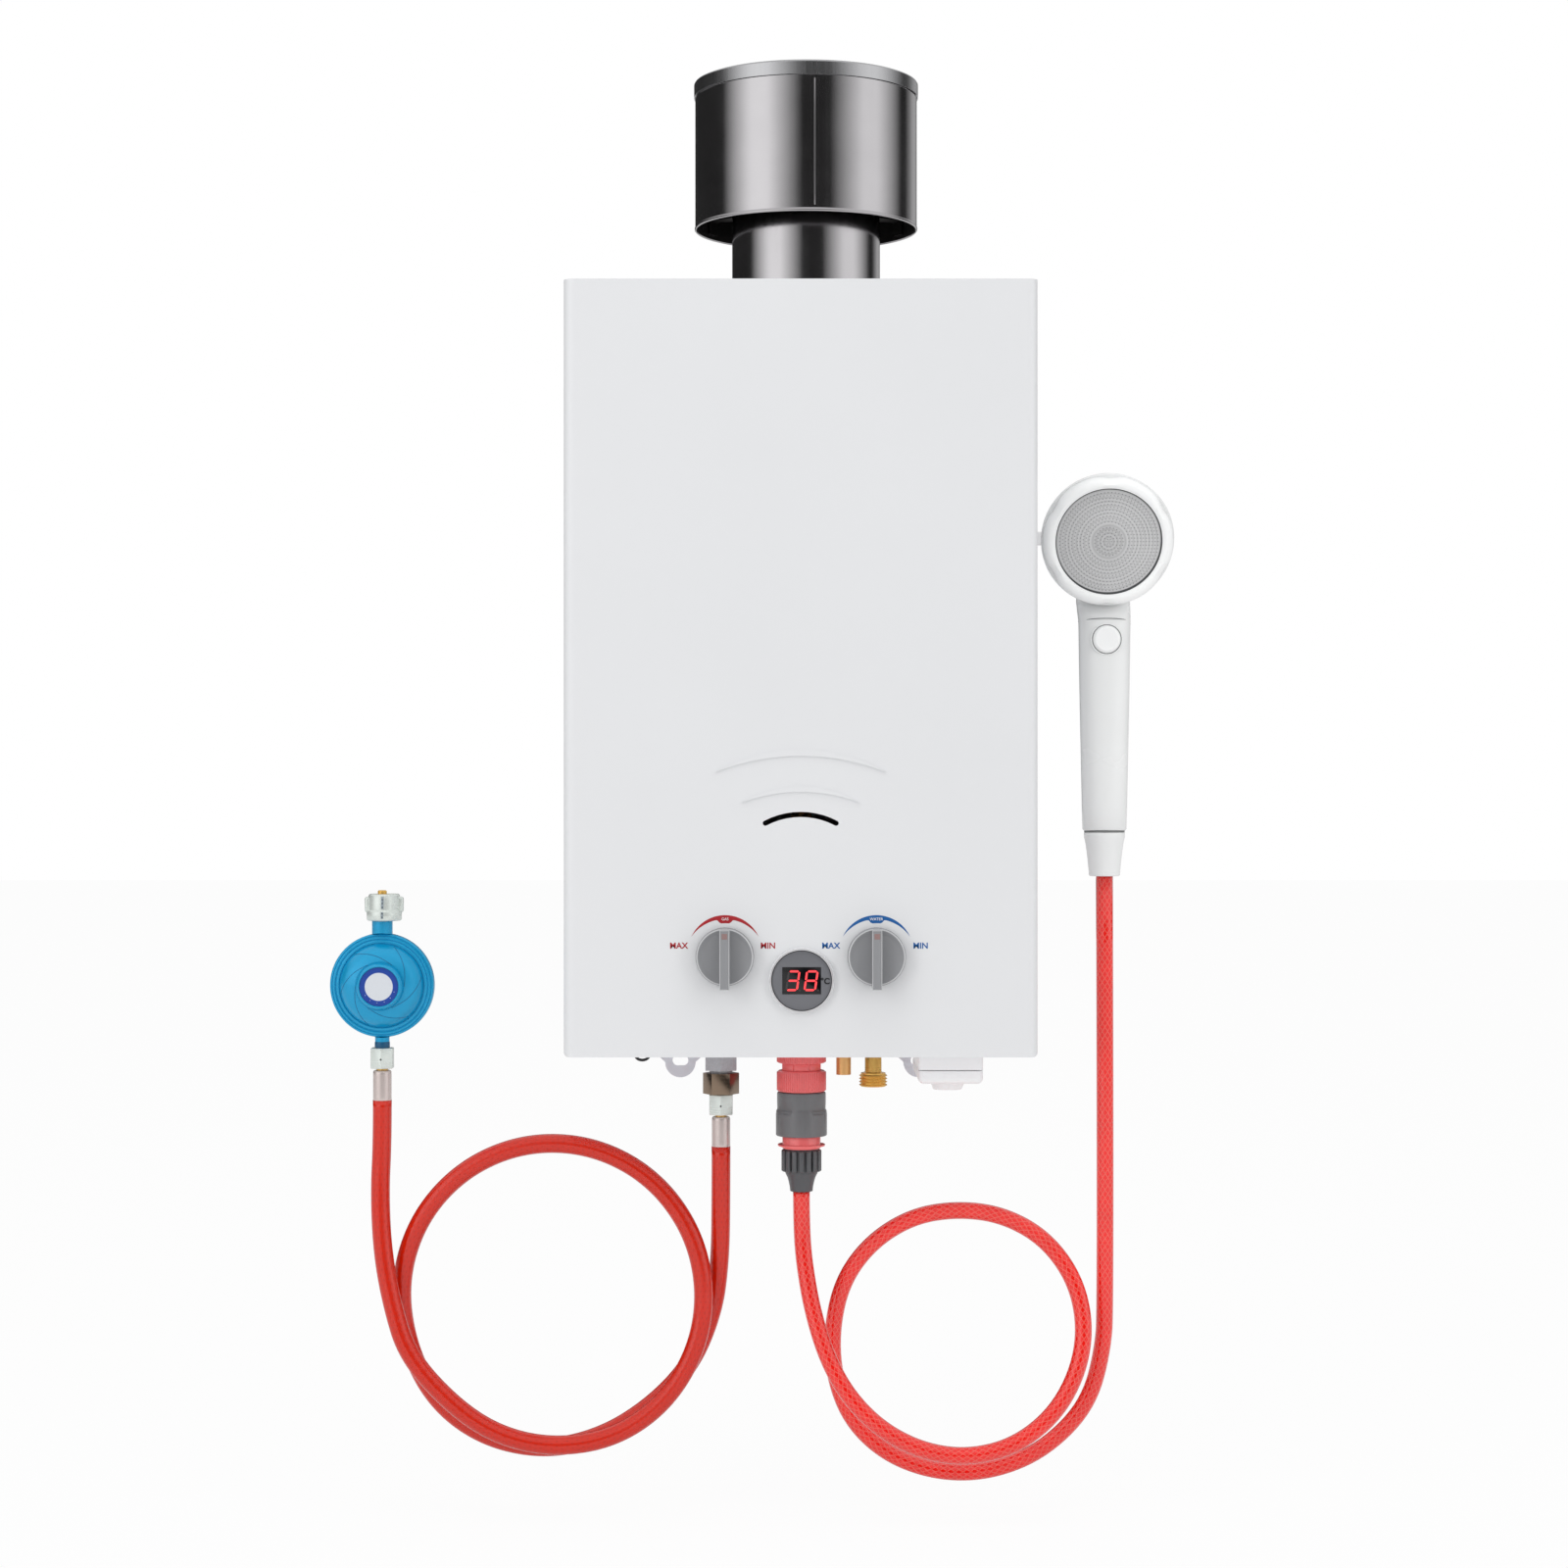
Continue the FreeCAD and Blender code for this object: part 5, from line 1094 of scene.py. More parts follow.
def crescent(half, top, thick, ends, count=40):
    """A thin band bent over a knob, pointed at its ends, that hangs lower where a word stands in it."""
    def arc(rise):
        radius = (half * half + rise * rise) / (2 * rise)
        swing = math.asin(half / radius)
        turns = [swing * (2 * step / count - 1) for step in range(count + 1)]
        return [(radius * math.sin(turn), ends + rise - radius + radius * math.cos(turn)) for turn in turns]

    def sag(across):
        return 2.3 * min(1.0, max(0.0, (4.6 - abs(across)) / 1.8))

    outer = arc(top - ends)
    inner = [(across, up - sag(across)) for across, up in arc(top - ends - thick)]
    return outer + list(reversed(inner[1:-1]))


def segment(centre, length, thick, upright):
    """One bar of a seven-part figure, pointed at both ends."""
    half, side = length / 2, thick / 2
    points = [
        (-half, 0), (-half + side, side), (half - side, side), (half, 0), (half - side, -side),
        (-half + side, -side),
    ]
    if upright:
        points = [(z, x) for x, z in points]
    return [(x + centre[0], z + centre[1]) for x, z in points]


FIGURES = {
    "0": "abcdef", "1": "bc", "2": "abged", "3": "abgcd", "4": "fgbc", "5": "afgcd",
    "6": "afgedc", "7": "abc", "8": "abcdefg", "9": "abcdfg",
}


class HEATER_OT_controls(bpy.types.Operator):
    """Makes the knobs, their printed scales and the display"""

    bl_idname = "heater.controls"
    bl_label = "Controls"

    def execute(self, context):
        sizes = context.scene.heater_sizes
        dress_nodes("gas_valve_stem", "water_valve_stem", "display_board")
        red = ink("red_ink", RED_INK)
        blue = ink("blue_ink", BLUE_INK)
        for node, paint, word in (("gas_knob", red, "GAS"), ("water_knob", blue, "WATER")):
            self.knob(node)
            self.scale(node, paint, word, sizes.letter_height)
        self.display(sizes)
        return {"FINISHED"}

    @staticmethod
    def knob(node):
        low, high = corners(node)
        radius = (high.x - low.x) / 2
        centre = ((low.x + high.x) / 2, high.y, high.z - radius)
        depth = high.y - low.y
        base = depth / 2
        profile = (
            (3.2, 0), (radius - 0.6, 0), (radius, 0.6), (radius, base - 1.1), (radius - 0.3, base - 0.35),
            (radius - 0.9, base), (radius - 1.5, base - 0.15), (radius - 2.4, base - 0.7),
            (radius - 4, base - 1.1), (0, base - 1.6), (0, 7), (3.2, 7),
        )
        meshes = [to_mesh("disc", turned_shape(profile, 96), placed(centre, TO_FRONT))]
        rings = []
        middle_up = (high.z + low.z) / 2 - centre[2] - 0.45
        half = (high.z - low.z) / 2 - 0.45
        for level, wide, tall in (
            (depth / 4 + 0.1, 2.8, half), (depth - 1.2, 2.8, half), (depth - 0.5, 2.65, half - 0.15),
            (depth - 0.05, 2.3, half - 0.5), (depth, 2.1, half - 0.7), (depth - 0.25, 1.8, half - 1.0),
            (depth - 0.3, 1.4, half - 1.4),
        ):
            ring = []
            for step in range(40):
                angle = math.tau * step / 40
                across, up = math.cos(angle), math.sin(angle)
                x = math.copysign(abs(across) ** 0.14, across) * wide
                y = math.copysign(abs(up) ** 0.14, up) * tall
                ring.append((x, y + middle_up, level))
            rings.append(ring)
        bar = bmesh.new()
        rings_joined(bar, rings)
        meshes.append(to_mesh("bar", bar, placed(centre, TO_FRONT)))
        grip = merged(f"{node}_grip", meshes)
        soft_edges(new_piece(f"{node}_grip", grip, node, replaces=True), 0.2)
        # The pale line round the disc's rim and the pale frame round the bar's front are painted highlights on the
        # knob's edges.
        pale = moulded("pale_edge", srgb(196, 197, 199), 0.3)
        line = (
            (radius - 1.15, base + 0.05), (radius - 0.75, base + 0.1), (radius - 0.4, base - 0.1),
            (radius - 0.5, base - 0.4), (radius - 1.0, base - 0.3),
        )
        turned(f"{node}_rim", line, centre, node, TO_FRONT, 96, material=pale)
        frame = frame_shape((5.5, 2 * half - 0.1), (4.7, 2 * half - 0.9), 0.3)
        matrix = placed((centre[0], low.y + 0.05, centre[2] + middle_up))
        solid(f"{node}_edge", frame, matrix, node, material=pale, smooth=False)
        tick = block_shape((3.2, 3.2, 0.5), (0, 12.0, depth - 0.42), 0.2)
        grey = ink("pointer_ink", srgb(148, 120, 118))
        solid(f"{node}_pointer", tick, placed(centre, TO_FRONT), node, material=grey)

    @staticmethod
    def scale(node, paint, word, height):
        low, high = corners(node)
        x = (low.x + high.x) / 2
        level = high.z - (high.x - low.x) / 2
        top = level + 23.4
        points = [(px + x, pz) for px, pz in crescent(19.1, top, 2.3, top - 12.2)]
        matrix = placed((0, COVER_FACE - 0.06, 0))
        solid(f"{node}_scale", plate_shape(points, 0.1), matrix, "front_cover", material=paint, smooth=False)
        white = ink("white_ink", srgb(240, 238, 238))
        lettering(
            f"{node}_word", word, (x, top - 2.3), 1.5, white, COVER_FACE - 0.12, "front_cover", bold=0.02,
        )
        left, right = (-26.3, 24.4) if word == "GAS" else (-25.9, 25.1)
        for mark, side in (("MAX", left), ("MIN", right)):
            place = (x + side, level + 5.9)
            name = f"{node}_{mark.lower()}"
            lettering(name, mark, place, height, paint, COVER_FACE - 0.06, "front_cover", bold=0.1)

    def display(self, sizes):
        dress_nodes("display_face", "display_window", bevel=0.2)
        centre, outer, tall = facing("display_bezel")
        ring = (
            (outer - 1.4, 0), (outer, 0), (outer, tall - 1.1), (outer - 0.2, tall - 0.5),
            (outer - 0.45, tall - 0.4), (outer - 0.55, tall - 1.0), (outer - 0.75, tall - 1.0),
            (outer - 0.85, tall - 0.15), (outer - 1.05, tall), (outer - 1.25, tall - 0.2),
            (outer - 1.4, tall - 1.2),
        )
        turned("display_rim", ring, centre, "display_bezel", TO_FRONT, 128, replaces=True)
        groove = (
            (outer - 1.75, tall - 1.5), (outer - 1.3, tall - 1.5), (outer - 1.3, tall - 1.1),
            (outer - 1.75, tall - 1.2),
        )
        dark = ink("groove_black", srgb(26, 26, 28))
        turned("display_groove", groove, centre, "display_face", TO_FRONT, 128, material=dark)
        self.figures(sizes.temperature)
        window = middle("display_window")
        front = corners("display_face")[0].y
        black = ink("black_ink", srgb(20, 20, 22))
        lettering(
            "degree_mark", "°C", (window.x + 13.4, window.z - 0.4), 3.2, black, front - 0.1, "display_face",
            bold=0.16,
        )

    @staticmethod
    def figures(words):
        """Two seven-part figures, with their unlit bars and points faintly visible."""
        window = middle("display_window")
        front = corners("display_window")[0].y
        lit, dim = [], []
        for number, figure in enumerate(words):
            x = window.x + (number - 0.5) * 10.3 + 0.2
            wide, tall, thick = 5.6, 5.3, 1.15
            bars = {
                "a": ((x, window.z + tall), wide, False), "g": ((x, window.z), wide, False),
                "d": ((x, window.z - tall), wide, False),
                "f": ((x - wide / 2 - 0.2, window.z + tall / 2), tall, True),
                "b": ((x + wide / 2 + 0.2, window.z + tall / 2), tall, True),
                "e": ((x - wide / 2 - 0.2, window.z - tall / 2), tall, True),
                "c": ((x + wide / 2 + 0.2, window.z - tall / 2), tall, True),
            }
            for bar, (centre, length, upright) in bars.items():
                group = lit if bar in FIGURES[figure] else dim
                points = [
                    (px + 0.14 * (pz - window.z), pz)
                    for px, pz in segment(centre, length - 0.3, thick, upright)
                ]
                shape = plate_shape(points, 0.08)
                group.append(to_mesh("bar", shape, placed((0, front - 0.05, 0))))
            dot = [
                (
                    x + 3.9 + 0.55 * math.cos(math.tau * step / 12),
                    window.z - tall - 0.2 + 0.55 * math.sin(math.tau * step / 12),
                )
                for step in range(12)
            ]
            dim.append(to_mesh("dot", plate_shape(dot, 0.08), placed((0, front - 0.05, 0))))
        red = glow("lit_red", srgb(235, 60, 65), 0.9)
        new_piece("lit_figures", merged("lit_figures", lit), "display_window", red, smooth=False)
        grey = ink("unlit_grey", srgb(62, 56, 58))
        new_piece("unlit_figures", merged("unlit_figures", dim), "display_window", grey, smooth=False)


# Fittings under the case


def knurled(name, core, ribs, matrix, node):
    """A turned core with ribs set round it, in place of a node."""
    clean(core)
    mesh = bpy.data.meshes.new("core")
    core.transform(matrix)
    core.to_mesh(mesh)
    core.free()
    return soft_edges(new_piece(name, merged(name, [mesh, *ribs]), node, replaces=True), 0.2)


class HEATER_OT_fittings(bpy.types.Operator):
    """Finishes the gas inlet, water outlet, cold inlet and battery box under the case"""

    bl_idname = "heater.fittings"
    bl_label = "Fittings"

    def execute(self, context):
        sizes = context.scene.heater_sizes
        dress_nodes("gas_inlet_fitting", "gas_adapter", "inlet_hose_nut", bevel=0.45)
        dress_nodes("relief_stub", "hose_nipples", "batteries")
        self.cold_inlet()
        self.ferrules()
        self.nut_marks()
        dress_nodes("battery_box", "battery_latch", "battery_lid_pin", bevel=0.35)
        self.battery_door()
        self.outlet(sizes)
        self.sleeve()
        self.clamp_nut(sizes)
        return {"FINISHED"}

    @staticmethod
    def battery_door():
        """The tray-shaped door of the battery box, rounded below."""
        low, high = corners("battery_lid")
        shape = block_shape(high - low)
        foot = low.z - (low.z + high.z) / 2
        edges = [edge for edge in shape.edges if min(vertex.co.z for vertex in edge.verts) < foot + 0.1]
        bmesh.ops.bevel(
            shape, geom=edges, offset=3.2, segments=6, profile=0.5, affect="EDGES", clamp_overlap=True,
        )
        soft_edges(solid("battery_tray", shape, placed((low + high) / 2), "battery_lid", replaces=True), 0.3)

    @staticmethod
    def cold_inlet():
        """The brass pipe with the thread that the water supply screws on to."""
        centre, crest, tall = standing("cold_inlet_fitting")
        neck, bore, turns, pitch = 4.9, 3.6, 4, 1.85
        profile = [(bore, 0), (crest - 1.1, 0)]
        for number in range(turns):
            foot = 0.15 + number * pitch
            profile.extend((
                (crest - 1.0, foot), (crest - 0.15, foot + 0.55), (crest, foot + 0.75),
                (crest - 0.15, foot + 0.95), (crest - 1.0, foot + 1.5),
            ))
        top = turns * pitch + 0.2
        profile.extend((
            (crest - 1.0, top), (crest - 1.0, top + 0.4), (neck + 0.3, top + 0.9), (neck, top + 1.3),
            (neck, tall), (bore, tall),
        ))
        turned("threaded_inlet", profile, centre, "cold_inlet_fitting", steps=72, replaces=True)

    @staticmethod
    def ferrules():
        """Two smooth crimped sleeves, where the gas hose ends on its fittings."""
        steel = metal("ferrule_steel", srgb(222, 208, 204), 0.2, (900.0, 900.0, 20.0), 0.02, 0.45)
        length = 17.7
        wide = 5.9
        meshes = []
        profile = (
            (3.5, 0), (4.4, 0), (5.0, -0.3), (5.35, -0.9), (wide - 0.45, -2.0),
            (wide - 0.45, -length + 1.5), (wide - 0.4, -length + 0.8), (wide - 0.5, -length),
            (3.5, -length),
        )
        for nut in ("inlet_hose_nut", "regulator_hose_nut"):
            place = (middle(nut).x, STACK_Y, corners(nut)[0].z - 1.1)
            meshes.append(to_mesh("ferrule", turned_shape(profile, 64), placed(place)))
        mesh = merged("crimped_ferrules", meshes)
        new_piece("crimped_ferrules", mesh, "hose_ferrules", steel, replaces=True)
        mesh.set_sharp_from_angle(angle=SHARP)

    @staticmethod
    def nut_marks():
        """The small dark dimple in the front flat of each hose nut."""
        dark = ink("dimple_black", srgb(30, 32, 32))
        for node in ("inlet_hose_nut", "regulator_hose_nut"):
            centre = middle(node)
            dot = turned_shape(((0, -0.3), (0.55, -0.3), (0.55, 0), (0, 0.02)), 16)
            place = (centre.x, corners(node)[0].y, centre.z - 0.4)
            solid(f"{node}_dimple", dot, placed(place, TO_FRONT), node, material=dark)

    @staticmethod
    def outlet(sizes):
        """The clear red tap adapter with two ribbed rings, and the red body under the sleeve."""
        centre, ring, _ = standing("tap_adapter", top=True)
        core = (
            (5.5, -43.8), (8, -43.8), (8, -25.8), (ring - 0.9, -25.8), (ring - 0.45, -25.3),
            (ring - 0.45, -14.2), (ring - 1.2, -13.5), (11.3, -13.3), (11.3, -9.2), (ring - 0.9, -9.0),
            (ring - 0.45, -8.6), (ring - 0.45, -0.4), (ring - 1.0, 0), (5.5, 0),
        )
        matrix = placed(centre)
        material = finish("tap_adapter")
        ribs = []
        for foot, head in ((-25.2, -14.3), (-8.5, -0.5)):
            bar = block_shape((0.9, 0.62, head - foot), (0, 0, (foot + head) / 2), 0.2, 2)
            ribs.append(repeated_round("rib", bar, sizes.rib_count, ring - 0.46, material, matrix))
        facet = block_shape((1.0, 8.0, 4.1), (0, 0, -11.25), 0.3, 2)
        ribs.append(repeated_round("facet", facet, 8, 10.9, material, matrix))
        knurled("outlet_adapter", turned_shape(core, 128), ribs, matrix, "tap_adapter")
        dress_nodes("quick_body", bevel=0.25)

    @staticmethod
    def sleeve():
        """The black release sleeve, waisted by two thumb recesses above a wider skirt."""
        centre, wide, tall = standing("quick_sleeve")
        skirt = tall - 10.8

        def hollows(angle, radius):
            dip = max(0.0, -math.cos(4 * angle)) ** 0.7
            if radius == 14.3:
                return 1 - 0.06 * dip
            return 1 - 0.05 * dip if radius == 14.9 else 1

        profile = (
            (11.6, 0), (wide - 0.5, 0), (wide, 0.5), (wide, skirt - 2.2), (14.9, skirt - 1.2),
            (14.9, skirt - 0.4), (14.3, skirt + 0.6), (14.3, skirt + 1.2), (14.3, skirt + 2.2),
            (14.4, skirt + 4), (14.4, tall - 0.8), (14.0, tall - 0.2), (13.4, tall), (11.6, tall),
        )
        # The sleeve's black plastic is given a lighter grey than the clamp nut's, the same plastic, as a painted
        # sheen.
        painted_sheen = moulded("black_sheen", srgb(112, 112, 114), 0.3, 0.12)
        turned(
            "release_sleeve", profile, centre, "quick_sleeve", steps=128, lobes=hollows, edge=0.25,
            material=painted_sheen, replaces=True,
        )

    @staticmethod
    def clamp_nut(sizes):
        """The coarse-ribbed black nut that runs out into a hollow-sided cone."""
        centre, wide, length = standing("hose_clamp_nut", top=True)
        foot = -length
        core = (
            (5.1, foot), (6.7, foot), (6.75, foot + 1.2), (7.0, foot + 3), (7.5, foot + 5.5),
            (8.2, foot + 8), (9.3, foot + 10.2), (9.7, foot + 11.3), (9.7, -0.8), (9.2, 0), (7.9, 0),
            (7.9, -9.5), (5.1, -13.6),
        )
        matrix = placed(centre)
        bar = block_shape((2.2, 2.9, 12.6), (0, 0, -7.0), 0.6, 2)
        ribs = [
            repeated_round("rib", bar, sizes.groove_count, wide - 1.1, finish("hose_clamp_nut"), matrix)
        ]
        knurled("clamp_grip", turned_shape(core, 96), ribs, matrix, "hose_clamp_nut")


# Hand shower


# Depth of the handle's axis, and the spray ring's height over the head's pivot
HANDLE_Y = -68
RIM_START = 20.3


class HEATER_OT_handset(bpy.types.Operator):
    """Makes the hand shower with its spray ring, perforated plate, button and nut"""

    bl_idname = "heater.handset"
    bl_label = "Hand shower"

    def execute(self, context):
        sizes = context.scene.heater_sizes
        dress_nodes("handset_holder", bevel=0.6)
        axis = next(joint for joint in FRAME["joints"] if joint["name"] == "spray_ring_turn")
        normal = Vector(axis["axis"]).normalized()
        self.pivot = Vector(axis["pos_m"]) / MM
        self.turn = normal.to_track_quat("Z", "Y").to_matrix().to_4x4()
        self.shell()
        self.ring()
        self.plate(sizes)
        self.button()
        self.nut()
        return {"FINISHED"}

    def shell(self):
        """Handle, neck and head shell, lofted in one skin and closed by the head's bowl."""
        x = self.pivot.x
        rings = []
        for z, y, wide, thick, square in (
            (-93.4, -68, 24.6, 22.4, 2.0), (-92.6, -68, 26.0, 23.8, 2.0), (-80, -68, 26.6, 24.6, 2.1),
            (-50, -68, 27.8, 25.6, 2.2), (-15, -68, 29.2, 26.4, 2.3), (10, -68, 30.0, 27, 2.4),
            (27, -68, 30.4, 27, 2.5), (31, -67.6, 30.6, 27, 2.6), (36, -64.6, 31.2, 24.8, 2.8),
            (42, -60, 31.6, 21.5, 3.0), (48, -57.2, 31.0, 19.4, 3.0), (56, -58.4, 28.0, 16.4, 2.6),
            (66, -60, 22, 12, 2.2),
        ):
            ring = []
            for step in range(64):
                angle = math.tau * step / 64
                across, deep = math.cos(angle), math.sin(angle)
                ring.append((
                    x + math.copysign(abs(across) ** (2 / square), across) * wide / 2,
                    y + math.copysign(abs(deep) ** (2 / square), deep) * thick / 2,
                    z,
                ))
            rings.append(ring)
        loft = bmesh.new()
        rings_joined(loft, rings)
        bowl = turned_shape((
            (0, 0), (14, 0.1), (22, 0.9), (28, 2.8), (32.5, 5.6), (36, 9.6), (38, 13.5), (38.9, 17.5),
            (39, 19.2), (38.6, 20), (10.0, 20), (10.0, 12), (0, 12),
        ), 128)
        meshes = [
            to_mesh("loft", loft, placed((0, 0, 0))),
            to_mesh("bowl", bowl, placed(self.pivot, self.turn)),
        ]
        mesh = merged("handset_shell", meshes)
        soft_edges(new_piece("handset_shell", mesh, "handset_body", replaces=True), 0.4, angle=40)
        self.parting_line(x)

    def parting_line(self, x):
        """The fine curved line across the neck and the small screw cover beside it."""
        points = []
        for step in range(25):
            across = -1 + 2 * step / 24
            reach = math.sqrt(max(0.0, 1 - abs(across) ** 2.6))
            points.append(
                Vector((x + across * 15.4, HANDLE_Y - reach * 13.55, 31.4 - 1.2 * across * across)) * MM
            )
        mesh = tube_mesh("neck_line", points, 0.22 * MM, sides=8)
        seam = ink("seam_grey", srgb(120, 122, 122))
        new_piece("neck_line", mesh, "handset_body", seam)
        dot = turned_shape(((0, -0.6), (0.5, -0.6), (0.5, 0.1), (0, 0.12)), 16)
        place = (x + 14.6, HANDLE_Y - 3.6, 28.6)
        solid("neck_dot", dot, placed(place, TO_FRONT), "handset_body", material=seam)

    def ring(self):
        """The white ring round the plate, with six shallow finger hollows."""
        def hollows(angle, radius):
            if radius < 34:
                return 1
            dip = math.cos(3 * (angle - math.radians(90))) ** 2
            return 1 - 0.04 * dip ** 4

        start = RIM_START
        profile = (
            (31.2, start), (37.4, start), (38.1, start + 1.2), (38.2, start + 4), (37.7, start + 6.4),
            (36.4, start + 8.1), (34.6, start + 9), (32.8, start + 8.8), (31.8, start + 8.0),
            (31.2, start + 7.4),
        )
        turned("spray_rim", profile, self.pivot, "spray_ring", self.turn, 144, hollows, replaces=True)

    def plate(self, sizes):
        """The slightly domed steel plate, with rings of fine holes and a pressed circle in its middle."""
        start = RIM_START
        face = start + 6.0
        profile = (
            (0, 13), (9.9, 13), (9.9, start), (31.1, start), (31.1, face), (30.4, face + 0.3),
            (20, face + 0.55), (10.1, face + 0.68), (9.9, face + 0.6), (9.6, face + 0.6),
            (9.4, face + 0.7), (0, face + 0.74),
        )
        middle_place = tuple((self.pivot + self.turn @ Vector((0, 0, face))) * MM)
        steel = perforated("plate_steel", middle_place, srgb(206, 206, 207), 0.0023)
        turned(
            "spray_face", profile, self.pivot, "spray_plate", self.turn, 128, material=steel, replaces=True,
        )
        black = ink("hole_black", srgb(112, 114, 116))
        # The dark ring at the plate's edge, wider below, is a painted shadow under the plate's lower rim.
        gap = ink("gap_grey", srgb(70, 72, 74))
        low_side = math.radians(-70)

        def wider_below(angle, radius):
            return 1 - 0.022 * max(0.0, math.cos(angle - low_side)) if radius < 30.7 else 1

        edge_shadow_profile = ((30.6, face), (31.2, face), (31.2, face + 0.5), (30.6, face + 0.5))
        turned("plate_edge_shadow", edge_shadow_profile, self.pivot, "spray_plate", self.turn, 128, wider_below, material=gap)
        meshes = []
        matrix = placed(self.pivot, self.turn)
        for number in range(sizes.hole_rings):
            radius = 1.5 + number * 1.7
            if 9.0 < radius < 10.6:
                continue
            count = max(6, round(radius * 3.0))
            dot = bmesh.new()
            bmesh.ops.create_circle(dot, cap_ends=True, radius=sizes.hole_radius, segments=8)
            level = face + 0.76 if radius < 9.5 else face + 0.72 - (radius - 10) * 0.014
            bmesh.ops.translate(dot, vec=(0, 0, level), verts=dot.verts)
            meshes.append(repeated_round("holes", dot, count, radius, black, matrix))
        new_piece("spray_holes", merged("spray_holes", meshes), "spray_plate", black, smooth=False)

    def button(self):
        centre, radius, tall = facing("handset_button")
        profile = (
            (0, 0), (radius, 0), (radius, tall - 1.4), (radius - 0.5, tall - 0.5), (radius - 1.6, tall),
            (radius - 3, tall - 0.35), (0, tall - 0.9),
        )
        turned("press_button", profile, centre, "handset_button", TO_FRONT, 64, replaces=True)
        # The grey ring in the groove round the button is painted shade in that groove.
        groove = (
            (radius + 0.05, tall - 1.9), (radius + 0.7, tall - 1.9), (radius + 0.7, tall - 1.4),
            (radius + 0.05, tall - 1.4),
        )
        grey = ink("groove_grey", srgb(128, 130, 130))
        turned("button_groove", groove, centre, "handset_body", TO_FRONT, 64, material=grey)
        collar = (
            (radius + 0.35, tall - 2.6), (radius + 1.5, tall - 2.6), (radius + 1.4, tall - 1.4),
            (radius + 0.9, tall - 1.1), (radius + 0.4, tall - 1.5),
        )
        turned("button_collar", collar, centre, "handset_body", TO_FRONT, 64)

    def nut(self):
        low, high = corners("handset_nut")
        centre = ((low.x + high.x) / 2, (low.y + high.y) / 2, low.z)
        wide, tall = (high.x - low.x) / 2, high.z - low.z
        profile = (
            (5.0, 0), (8.6, 0), (9.15, 0.5), (9.3, 3), (10.2, 12), (11.3, 20), (wide, 23.2),
            (wide, tall - 0.5), (wide - 0.5, tall), (8.1, tall), (8.1, 12.5), (5.0, 12.5),
        )
        gap = (
            (wide - 1.2, tall - 0.1), (wide - 0.15, tall - 0.1), (wide - 0.15, tall + 0.9),
            (wide - 1.2, tall + 0.9),
        )
        dark = ink("foot_shadow", srgb(120, 122, 122))
        turned("foot_gap", gap, centre, "handset_body", material=dark)
        turned("handset_cone", profile, centre, "handset_nut", edge=0.2, replaces=True)


# Regulator


DOME_LEVELS = (
    (14.3, 12.3), (15.0, 12.0), (17.6, 11.2), (20.2, 9.9), (22.2, 8.3), (23.6, 6.4), (24.4, 4.6),
    (24.7, 3.1),
)


def dome_level(reach):
    """Height of the dome's skin at this distance from its axis."""
    for (near, high), (far, low) in zip(DOME_LEVELS, DOME_LEVELS[1:]):
        if near <= reach <= far:
            return high + (low - high) * (reach - near) / (far - near)
    return DOME_LEVELS[0][1]


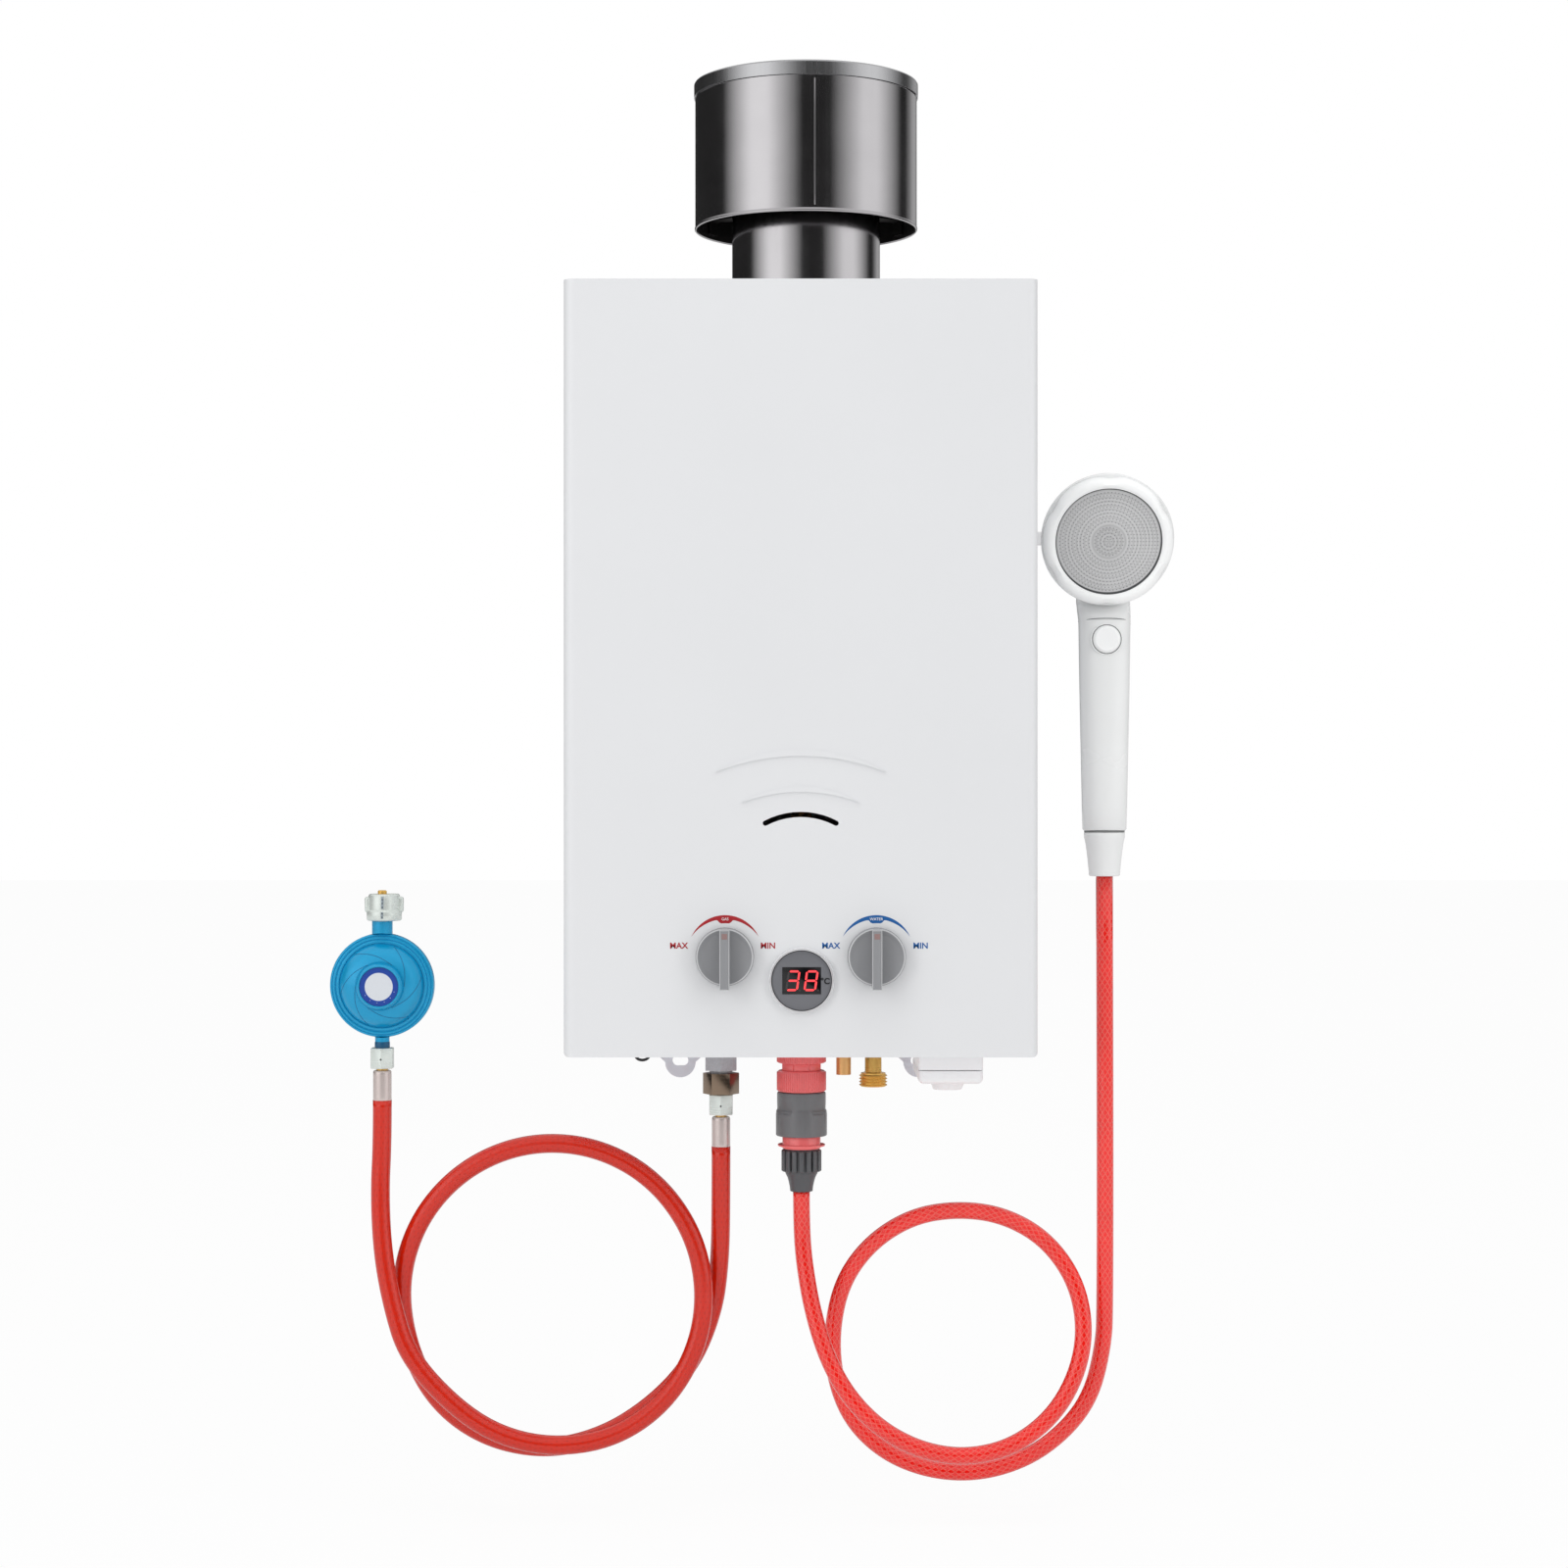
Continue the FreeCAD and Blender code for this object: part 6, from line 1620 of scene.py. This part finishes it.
class HEATER_OT_regulator(bpy.types.Operator):
    """Makes the blue regulator with its pressed ribs, winged nut and label"""

    bl_idname = "heater.regulator"
    bl_label = "Regulator"

    def execute(self, context):
        dress_nodes("regulator_body", "regulator_label", "regulator_diaphragm", "bottle_nipple")
        dress_nodes("regulator_hose_nut", bevel=0.5)
        centre, rim, _ = facing("regulator_cover")
        dome = (
            (23, 0), (rim, 0), (rim, 1.6), (rim - 0.25, 2.5), (rim - 0.8, 2.95), (29.5, 3.0),
            (29.25, 2.6), (29.0, 2.6), (28.8, 3.1), (28.2, 3.35), (27.6, 3.2), (27.3, 2.7), (27.05, 2.7),
            (26.8, 3.2), (26.0, 3.6), (25.2, 3.5), (24.95, 3.0), (24.7, 3.1), (24.4, 4.6), (23.6, 6.4),
            (22.2, 8.3), (20.2, 9.9), (17.6, 11.2), (15.0, 12.0), (14.3, 12.3), (13.9, 12.2),
            (13.7, 12.6), (13.5, 15.2), (13.0, 16.4), (12.4, 17.0), (12.0, 17.2), (11.6, 16.9),
            (11.4, 15.9), (0, 15.8), (0, 12), (12.8, 12), (19.5, 6.3),
        )
        turned("regulator_dome", dome, centre, "regulator_cover", TO_FRONT, 144, replaces=True)
        path = []
        for step in range(15):
            part = step / 14
            reach = 14.4 + part * 9.8
            swing = 1.25 * part ** 0.62
            path.append(
                Vector((reach * math.cos(swing), reach * math.sin(swing), dome_level(reach) + 0.02))
            )
        tube = tube_mesh("rib", path, 0.16, sides=8)
        shape = bmesh.new()
        shape.from_mesh(tube)
        bpy.data.meshes.remove(tube)
        # The dark blue lines on the dome are painted shade in its pressed grooves.
        dark = ink("groove_blue", srgb(16, 92, 140))
        ribs = repeated_round("ribs", shape, 6, 0.0, dark, placed(centre, TO_FRONT))
        new_piece("dome_groove_shade", ribs, "regulator_cover", dark)
        self.stub_foot()
        self.bottle_nut()
        self.label_dots()
        return {"FINISHED"}

    @staticmethod
    def stub_foot():
        """A darker blue band round the foot of the outlet, just above its hose nut."""
        top = corners("regulator_hose_nut")[1].z
        centre = (middle("regulator_hose_nut").x, STACK_Y, top)
        foot = ((4.0, 0.1), (4.45, 0.1), (4.5, 1.2), (4.45, 3.2), (4.3, 3.7), (4.0, 3.7))
        deep = moulded("deep_blue", srgb(16, 84, 122), 0.3)
        turned("stub_foot", foot, centre, "regulator_body", steps=64, material=deep)

    @staticmethod
    def bottle_nut():
        """The winged nut for the gas bottle, with an upright row of beads in its front."""
        (x, y, base), wing, tall = standing("bottle_nut")
        matrix = placed((x, y, base))
        profile = (
            (5.9, 0), (9.4, 0), (10.0, 0.4), (10.3, 1.0), (10.3, 5.2), (9.9, 6.0), (9.25, 6.5),
            (9.2, 7.2), (9.2, tall - 1.0), (8.8, tall - 0.3), (8.4, tall), (7.6, tall), (7.4, tall - 0.8),
            (7.4, 5), (5.9, 5),
        )
        barrel = turned_shape(profile, 96)
        ears = []
        for side in (-1, 1):
            loop = block_shape((5.0, 4.6, 9.4), (side * (wing - 2.5), 0, tall - 6.3), 1.5, 4)
            ears.append(to_mesh("ear", loop, matrix))
        knurled("winged_nut", barrel, ears, matrix, "bottle_nut")
        grey = metal("slot_grey", srgb(158, 170, 178), 0.3, metallic=0.3)
        dark = ink("bead_black", srgb(60, 64, 68))
        slots, beads = [], []
        for foot, length, reach in ((1.4, 4.0, 10.3), (7.2, tall - 8.6, 9.2)):
            slot = block_shape((1.5, 0.2, length), (0, 0, foot + length / 2), 0.05, 1)
            slots.append(to_mesh("slot", slot, placed((x, y - reach, base))))
            for number in range(2 if length < 5 else 3):
                bead = turned_shape(((0, -0.1), (0.42, -0.1), (0.38, 0.12), (0, 0.2)), 12)
                place = (x, y - reach - 0.1, base + foot + 0.9 + number * 2.3)
                beads.append(to_mesh("bead", bead, placed(place, TO_FRONT)))
        new_piece("nut_slot", merged("nut_slot", slots), "bottle_nut", grey)
        new_piece("nut_beads", merged("nut_beads", beads), "bottle_nut", dark)

    @staticmethod
    def label_dots():
        """The small white dots in the lower part of the label's band."""
        centre = middle("regulator_label")
        front = corners("regulator_label")[0].y
        dots = []
        for turn in (-148, -122, -96, -70, -44, -18):
            angle = math.radians(turn)
            dot = turned_shape(((0, -0.05), (0.2, -0.05), (0.2, 0.04), (0, 0.05)), 12)
            place = (centre.x + 9.4 * math.cos(angle), front, centre.z + 9.4 * math.sin(angle))
            dots.append(to_mesh("dot", dot, placed(place, TO_FRONT)))
        white = ink("white_ink_dots", srgb(235, 236, 240))
        new_piece("label_dots", merged("label_dots", dots), "regulator_label", white)


# Inside


class HEATER_OT_inside(bpy.types.Operator):
    """Finishes the burner, heat exchanger and valves inside the case"""

    bl_idname = "heater.inside"
    bl_label = "Inside"

    def execute(self, context):
        dress_nodes(
            "exchanger_shell", "exchanger_fins", "water_coil", "flue_hood", "burner_tray", "burner_bars",
            "gas_manifold", "electrodes", "gas_valve_body", "water_valve_body", "push_rod", "micro_switch",
            "ignition_box",
        )
        return {"FINISHED"}


class HEATER_PT_panel(bpy.types.Panel):
    """Lists the heater's sizes, colours and makers"""

    bl_label = "Heater"
    bl_idname = "HEATER_PT_panel"
    bl_space_type = "VIEW_3D"
    bl_region_type = "UI"
    bl_category = "Heater"

    def draw(self, context):
        for group in (context.scene.heater_sizes, context.scene.heater_colours):
            for name in group.bl_rna.properties.keys():
                if name not in {"rna_type", "name"}:
                    self.layout.prop(group, name)
        for maker in MAKERS:
            self.layout.operator(maker.bl_idname)


MAKERS = (
    HEATER_OT_stage,
    HEATER_OT_hoses,
    HEATER_OT_case,
    HEATER_OT_controls,
    HEATER_OT_fittings,
    HEATER_OT_handset,
    HEATER_OT_regulator,
    HEATER_OT_inside,
)
CLASSES = (HeaterSizes, HeaterColours, *MAKERS, HEATER_PT_panel)


def register():
    for item in CLASSES:
        bpy.utils.register_class(item)
    bpy.types.Scene.heater_sizes = bpy.props.PointerProperty(type=HeaterSizes)
    bpy.types.Scene.heater_colours = bpy.props.PointerProperty(type=HeaterColours)


def unregister():
    del bpy.types.Scene.heater_colours
    del bpy.types.Scene.heater_sizes
    for item in reversed(CLASSES):
        bpy.utils.unregister_class(item)


def main():
    register()
    FINISHES.update(slot_finishes())
    bpy.ops.heater.stage()
    bpy.ops.heater.hoses()
    bpy.ops.heater.case()
    bpy.ops.heater.controls()
    bpy.ops.heater.fittings()
    bpy.ops.heater.handset()
    bpy.ops.heater.regulator()
    bpy.ops.heater.inside()


if __name__ == "__main__":
    main()
